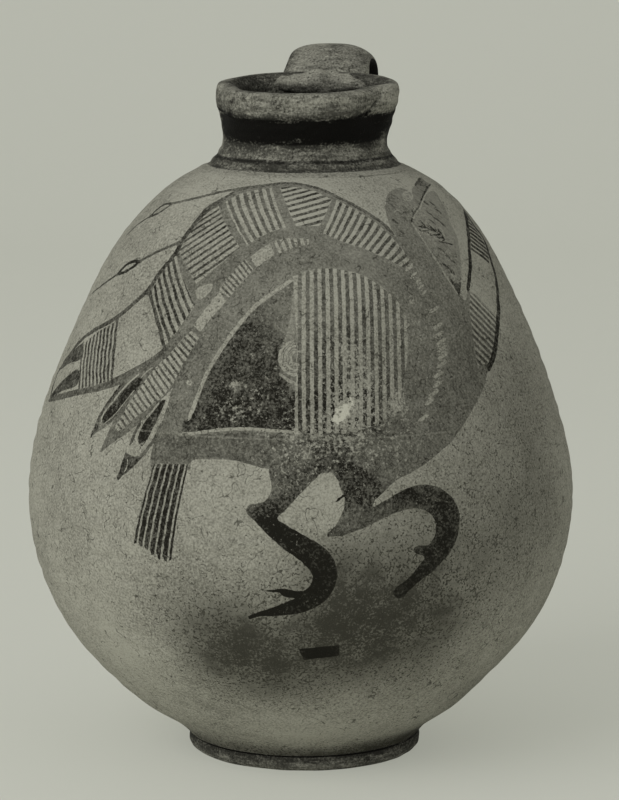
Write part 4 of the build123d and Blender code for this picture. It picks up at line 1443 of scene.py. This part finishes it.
@dataclass(frozen=True)
class FiredClay:
    """Wheel-thrown earthenware under a matt slip, fired and long buried.

    It has no shine to speak of. Its grey-buff is mottled, with fine grit, dark specks, short root marks, and
    soil and painted shade where the mark of soil and painted light is high, and painted light where it is below
    zero. A range says at which value of a pattern a thing begins and is whole.
    """

    name: str = "earthenware, thrown and slipped matt"
    light: str = "A3A295"  # the clay where it is palest
    dark: str = "68675D"  # the clay where it is darkest
    soil: str = "28271F"  # the specks, the root marks and the soil
    fresh: str = "BAB9AA"  # clay that a chip has laid bare
    ink: str = "1B1A14"  # the slip paint where it is densest
    roughness: float = 0.88
    shine: float = 0.12
    bump: float = 0.6
    relief: float = 0.6  # the depth of the grain, in millimetres
    pale: Pair = (0.52, 1.26)
    clinging: Pair = (1.1, 1.65)
    root_line: Pair = (0.014, 0.004)
    root_places: Pair = (0.48, 0.56)
    speck: Pair = (0.685, 0.75)
    chipped: Pair = (1.36, 1.56)
    root_tone: float = 0.66
    speck_tone: float = 0.8
    soil_tone: float = 0.84
    patterns: ClassVar[Patterns] = {
        "mottling": (48, 6.0, 0.6), "clouds": (7, 4.0, 0.6), "grain": (0.9, 1.0, 0.6), "soil": (17, 6.0, 0.7),
        "roots": (6.5, 1.6, 0.5), "places": (6, 3.0, 0.6), "specks": (1.0, 1.0, 0.5),
    }

    def clay(self, node: partial, noise: Nodes) -> tuple[Node, Node]:
        """The bare clay's colour, and the height of its grain.

        Args:
            node: Adds a node.
            noise: The patterns, of which each counts as much as the number with it says.

        Returns:
            The colour and the height.
        """
        # This mark soils the clay and paints light and shade on it: above zero it darkens the clay, its soil and its
        # specks with soil and painted shade; below zero it lightens the clay with painted light.
        grime = node("Attribute", {"attribute_name": "grime"}).outputs["Fac"]
        clouds, grain = noise["clouds"], noise["grain"]
        blend = node("Math", TIMES_PLUS, noise["mottling"], 0.5, node("Math", TIMES, clouds, 0.4))
        # Painted light and shade, with soil: the mark lightens or darkens the clay's tone.
        blend = node("Math", LESS, node("Math", SUM, blend, grain), node("Math", TIMES, grime, 0.36))
        pale = node("MapRange", SMOOTH, blend, *self.pale)
        colour = node("Mix", COLOURS | {6: linear(self.dark), 7: linear(self.light)}, pale)
        clung = node("Math", TIMES_PLUS, clouds, 0.9, noise["soil"])
        clung = node("Math", SUM, clung, node("Math", TIMES, grain, 0.8))
        soil = node("Math", TIMES, grime, node("MapRange", SMOOTH | {3: 0.15, 4: 1.3}, clung, *self.clinging))
        line = node("Math", SIZE, node("Math", LESS, noise["roots"], 0.5))
        where = node("MapRange", SMOOTH, node("Math", TIMES_PLUS, grime, 0.12, noise["places"]), *self.root_places)
        root = node("Math", TIMES, node("MapRange", SMOOTH, line, *self.root_line), where)
        specks = node("MapRange", SMOOTH, node("Math", TIMES_PLUS, grime, 0.2, noise["specks"]), *self.speck)
        marks = (
            node("Math", TIMES, root, self.root_tone),
            node("Math", TIMES, specks, self.speck_tone),
            node("MapRange", SMOOTH | {4: self.soil_tone}, soil, 0.0, 1.3),
        )
        dark = reduce(partial(node, "Math", MOST), marks)
        colour = node("Mix", COLOURS | {6: colour, 7: linear(self.soil)}, dark)
        return colour, node("Math", LESS, grain, node("Math", TIMES, dark, 0.5))

    def painted(self, node: partial, noise: Nodes, place: Socket) -> Node | None:
        """How much slip paint covers the clay. Bare clay has none."""
        return None

    def make(self) -> Material:
        """Builds the material: the clay, the paint over it, and the grain of the surface."""
        material, node = new_material(self.name)
        place = node("TexCoord", {}).outputs["Object"]
        noise = {
            name: node("TexNoise", {"Scale": per_metre(size), "Detail": detail, "Roughness": rough, "Vector": place})
            for name, (size, detail, rough) in self.patterns.items()
        }
        colour, height = self.clay(node, noise)
        amount = self.painted(node, noise, place)
        if amount is not None:
            chip = node("Attribute", {"attribute_name": "chip"}).outputs["Fac"]
            bare = node("Math", SUM, chip, node("Math", TIMES, noise["chips"], 1.6))
            bare = node("MapRange", SMOOTH, bare, *self.chipped)
            colour = node("Mix", COLOURS | {6: colour, 7: linear(self.fresh)}, bare)
            amount = node("Math", TIMES | {"use_clamp": True}, amount, node("Math", LESS, 1.0, bare))
            colour = node("Mix", COLOURS | {6: colour, 7: linear(self.ink)}, amount)
        bump = node("Bump", {"Strength": self.bump, "Distance": self.relief * METRES, "Height": height})
        look = {"Roughness": self.roughness, "Specular IOR Level": self.shine, "Base Color": colour, "Normal": bump}
        node("OutputMaterial", {"Surface": node("BsdfPrincipled", look)})
        return material


@dataclass(frozen=True)
class BirdClay(FiredClay):
    """The same clay with the bird in thin dark slip paint.

    The paint follows the marks of the bird. Its edges waver by a few tenths of a millimetre as a brush's
    do, it is streaky within, and it is rubbed through in specks.
    """

    name: str = "earthenware with slip painting, brushed and worn"
    waver: float = 0.85  # of an edge, in millimetres
    fill_edge: float = 0.14  # half the width of a fill's soft edge, in millimetres
    field_edge: float = 0.12  # the same of a striped field
    line_edge: float = 0.1  # the same of a line
    stripe_edge: float = 0.05  # the same of a stripe, as a share of a space
    line_end: Pair = (-0.65, -0.4)  # how far past its last point a line has gone, and is whole
    streaks: Pair = (0.36, 0.64)
    blots: Pair = (0.3, 0.7)
    density: Pair = (0.6, 1.34)  # of the thinnest and the thickest paint
    worn: Pair = (0.6, 0.72)
    patterns: ClassVar[Patterns] = FiredClay.patterns | {
        "chips": (3, 5.0, 0.7), "edges": (2.2, 2.0, 0.65), "blots": (6, 5.0, 0.7), "streaks": (1.1, 2.5, 0.7),
        "rubbing": (1.7, 4.0, 0.75),
    }

    def painted(self, node: partial, noise: Nodes, place: Socket) -> Node:
        """The densest of the fills, the stripes and the lines, less what is left bare and what is worn."""
        waver = node("Math", TIMES, node("Math", LESS, noise["edges"], 0.5), self.waver)
        mark = {name: node("Attribute", {"attribute_name": name}).outputs["Fac"] for name in PAINT_MARKS}
        edge = node("MapRange", SMOOTH, node("Math", SUM, mark["paint"], waver), self.fill_edge, -self.fill_edge)
        inks = [node("Math", TIMES, edge, mark["tone"])]
        for name in (stripes.value for stripes in Stripes):
            count = node("Math", TIMES_PLUS, waver, 0.3, mark[f"{name}_stripe"])
            near = node("Math", {"operation": "PINGPONG"}, count, 0.5)
            inner = node("Math", LESS, node("Math", TIMES, mark[f"{name}_share"], 0.5), near)
            stripe = node("MapRange", SMOOTH, inner, -self.stripe_edge, self.stripe_edge)
            edge = node("Math", SUM, mark[f"{name}_edge"], waver)
            edge = node("MapRange", SMOOTH, edge, self.field_edge, -self.field_edge)
            inks.append(node("Math", TIMES, node("Math", TIMES, stripe, edge), mark[f"{name}_tone"]))
        for name in (line.value for line in Line):
            half = mark[f"{name}_half"]
            inner = node("Math", LESS, half, node("Math", SIZE, mark[f"{name}_side"]))
            line = node("MapRange", SMOOTH, node("Math", SUM, inner, waver), -self.line_edge, self.line_edge)
            close = node("MapRange", SMOOTH, node("Math", LESS, half, mark[f"{name}_far"]), *self.line_end)
            inks.append(node("Math", TIMES, node("Math", TIMES, line, close), mark[f"{name}_tone"]))
        *inks, bare = inks
        ink = reduce(partial(node, "Math", MOST), inks)
        ink = node("Math", TIMES, ink, node("Math", LESS, 1.0, bare))
        streaky = node("MapRange", SMOOTH, noise["streaks"], *self.streaks)
        streaky = node("Math", TIMES_PLUS, streaky, 1.1, node("MapRange", SMOOTH, noise["blots"], *self.blots))
        thin, thick = self.density
        density = node("MapRange", {3: thin, 4: thick}, streaky, 0.0, 2.1)
        rubbed = node("Math", TIMES_PLUS, mark["wear"], 0.4, noise["rubbing"])
        worn = node("MapRange", SMOOTH, rubbed, *self.worn)
        kept = node("Math", TIMES, node("Math", LESS, 1.0, worn), node("Math", LESS, 1.0, mark["fade"]))
        return node("Math", TIMES, node("Math", TIMES, ink, density), kept)


@dataclass(frozen=True)
class BandedClay(FiredClay):
    """The same clay under a band of dark slip paint, rubbed off in streaks that run round the wheel."""

    name: str = "earthenware with a dark slip band, worn"
    ink: str = "0B0A07"
    flatten: float = 4.5  # how much longer the streaks are round the jug than up it
    covered: Pair = (1.85, 2.95)
    dense: Pair = (0.7, 1.1)
    density: Pair = (0.78, 1.0)  # of the paint at both ends of that range
    patterns: ClassVar[Patterns] = FiredClay.patterns | {"chips": (3, 5.0, 0.7), "brushing": (1.0, 2.0, 0.6)}

    def painted(self, node: partial, noise: Nodes, place: Socket) -> Node:
        """The cover mark, broken up by streaks and grain."""
        # The cover mark carries the band's paint, and in places painted shade and a painted highlight.
        cover = node("Attribute", {"attribute_name": "cover"}).outputs["Fac"]
        flat = node("VectorMath", TIMES, place, (1.0, 1.0, self.flatten))
        streak = node("TexNoise", {"Scale": per_metre(11), "Detail": 6.0, "Roughness": 0.72, "Vector": flat})
        broken = node("Math", TIMES_PLUS, streak, 2.4, node("Math", TIMES, noise["brushing"], 1.3))
        amount = node("MapRange", SMOOTH, node("Math", SUM, cover, broken), *self.covered)
        thin, thick = self.density
        return node("Math", TIMES, amount, node("MapRange", {3: thin, 4: thick}, cover, *self.dense))


@dataclass(frozen=True)
class Studio:
    """A pale card floor that curves up behind the jug, one big soft lamp from the left and a weak one."""

    card: str = "F0F1E8"
    shown: str = "B5B7AB"  # the plain tone that the camera sees
    plain: float = 0.6  # how much of the card is that tone
    bend: float = 1.1  # the radius of the card's bend, in metres
    reach: float = 2.6  # how far it comes forwards
    behind: float = 0.7  # where it starts to bend, as a share of its reach
    spread: float = 1.6  # half its width, as a share of its reach
    aim: float = 0.15  # the height that the lamps look at, in metres
    air: tuple[float, float, float, float] = (1.0, 1.0, 0.97, 1.0)
    air_light: float = 0.42
    sensor: float = 36.0  # the length of the camera's long side, in millimetres

    def floor(self) -> None:
        """The card: flat under the jug, then a quarter circle up to a wall, swept sideways."""
        turn = math.radians(VIEW.turn)
        arc = np.linspace(0, math.pi / 2, 24)
        run = np.concatenate([[-self.reach], self.reach * self.behind + self.bend * np.sin(arc)])
        rise = np.concatenate([[0.0], self.bend * (1 - np.cos(arc))])
        run, rise = np.append(run, run[-1]), np.append(rise, rise[-1] + self.reach)
        side = np.array([-1, 1]) * self.reach * self.spread
        x = side[None, :] * math.cos(turn) - run[:, None] * math.sin(turn)
        y = side[None, :] * math.sin(turn) + run[:, None] * math.cos(turn)
        points = np.stack([x, y, np.broadcast_to(rise[:, None], x.shape)], axis=-1).reshape(-1, 3)
        first = np.arange(len(run) - 1) * 2
        faces = np.stack([first, first + 1, first + 3, first + 2], axis=1)
        mesh = bpy.data.meshes.new("pale card")
        mesh.from_pydata(points.tolist(), [], faces.tolist())
        mesh.shade_smooth()
        mesh.materials.append(self.finish())
        card = bpy.data.objects.new("pale_card", mesh)
        bpy.context.scene.collection.objects.link(card)

    def finish(self) -> Material:
        """Matt card. The camera sees mostly its plain tone, and the rest of it takes the jug's shadow."""
        material, node = new_material("matt card")
        seen = node("Math", TIMES, node("LightPath", {}).outputs["Is Camera Ray"], self.plain)
        plain = node("Emission", {"Color": linear(self.shown)})
        lit = node("BsdfDiffuse", {"Color": linear(self.card)})
        node("OutputMaterial", {"Surface": node("MixShader", {}, seen, lit, plain)})
        return material

    def lamp(self, name: str, side: float, height: float, away: float, size: float, power: float) -> None:
        """A square soft lamp that looks at the jug's middle.

        Args:
            name: The lamp's name.
            side: Its angle to the right of the camera, in degrees.
            height: Its angle over the horizon, in degrees.
            away: Its distance, in metres.
            size: The length of its side, in metres.
            power: Its power, in watts.
        """
        turn, up = math.radians(side + VIEW.turn), math.radians(height)
        centre = Vector((0, 0, self.aim))
        back = Vector((math.sin(turn) * math.cos(up), -math.cos(turn) * math.cos(up), math.sin(up)))
        data = bpy.data.lights.new(name, "AREA")
        data.energy, data.size, data.shape = power, size, "SQUARE"
        lamp = bpy.data.objects.new(name, data)
        lamp.location = centre + back * away
        lamp.rotation_mode = "QUATERNION"
        lamp.rotation_quaternion = (-back).to_track_quat("-Z", "Y")
        bpy.context.scene.collection.objects.link(lamp)

    def world(self) -> None:
        """A faint even light from all round."""
        world = bpy.data.worlds.new("studio")
        world.use_nodes = True
        tree = world.node_tree
        tree.nodes.clear()
        air = add_node(tree, "Background", {"Color": self.air, "Strength": self.air_light})
        shown = add_node(tree, "Background", {"Color": linear(self.shown)})
        seen = add_node(tree, "LightPath", {}).outputs["Is Camera Ray"]
        add_node(tree, "OutputWorld", {"Surface": add_node(tree, "MixShader", {}, seen, air, shown)})
        bpy.context.scene.world = world

    def camera(self) -> None:
        """The camera, at the photograph's place and angle."""
        data = bpy.data.cameras.new("camera")
        data.sensor_width = self.sensor
        data.lens = VIEW.focal * data.sensor_width / VIEW.rows
        camera = bpy.data.objects.new("camera", data)
        right, up, forward = VIEW.axes()
        turn = Matrix(np.stack([right, up, -forward], axis=1).tolist()).to_4x4()
        camera.matrix_world = Matrix.Translation(Vector(VIEW.place() * METRES)) @ turn
        bpy.context.scene.collection.objects.link(camera)
        bpy.context.scene.camera = camera

    def build(self) -> None:
        """Sets up the card, the lamps, the world and the camera."""
        self.floor()
        self.lamp("big soft lamp", side=-46, height=28, away=2.3, size=1.8, power=28.5)
        self.lamp("weak lamp", side=42, height=10, away=2.6, size=1.6, power=4)
        self.world()
        self.camera()
        bpy.context.scene.view_settings.view_transform = "Standard"


def main() -> None:
    """Builds the jug, piece by piece, and the studio round it."""
    logging.basicConfig(level=logging.INFO, format="%(name)s: %(message)s")
    clay = FiredClay().make()
    paint = BandedClay().make()
    body = Body()
    neck = Neck()
    body.build(BirdClay().make())
    Foot().build(paint)
    neck.build(paint, clay)
    Handle(body, neck).build(paint, clay)
    Studio().build()


if __name__ == "__main__":
    main()
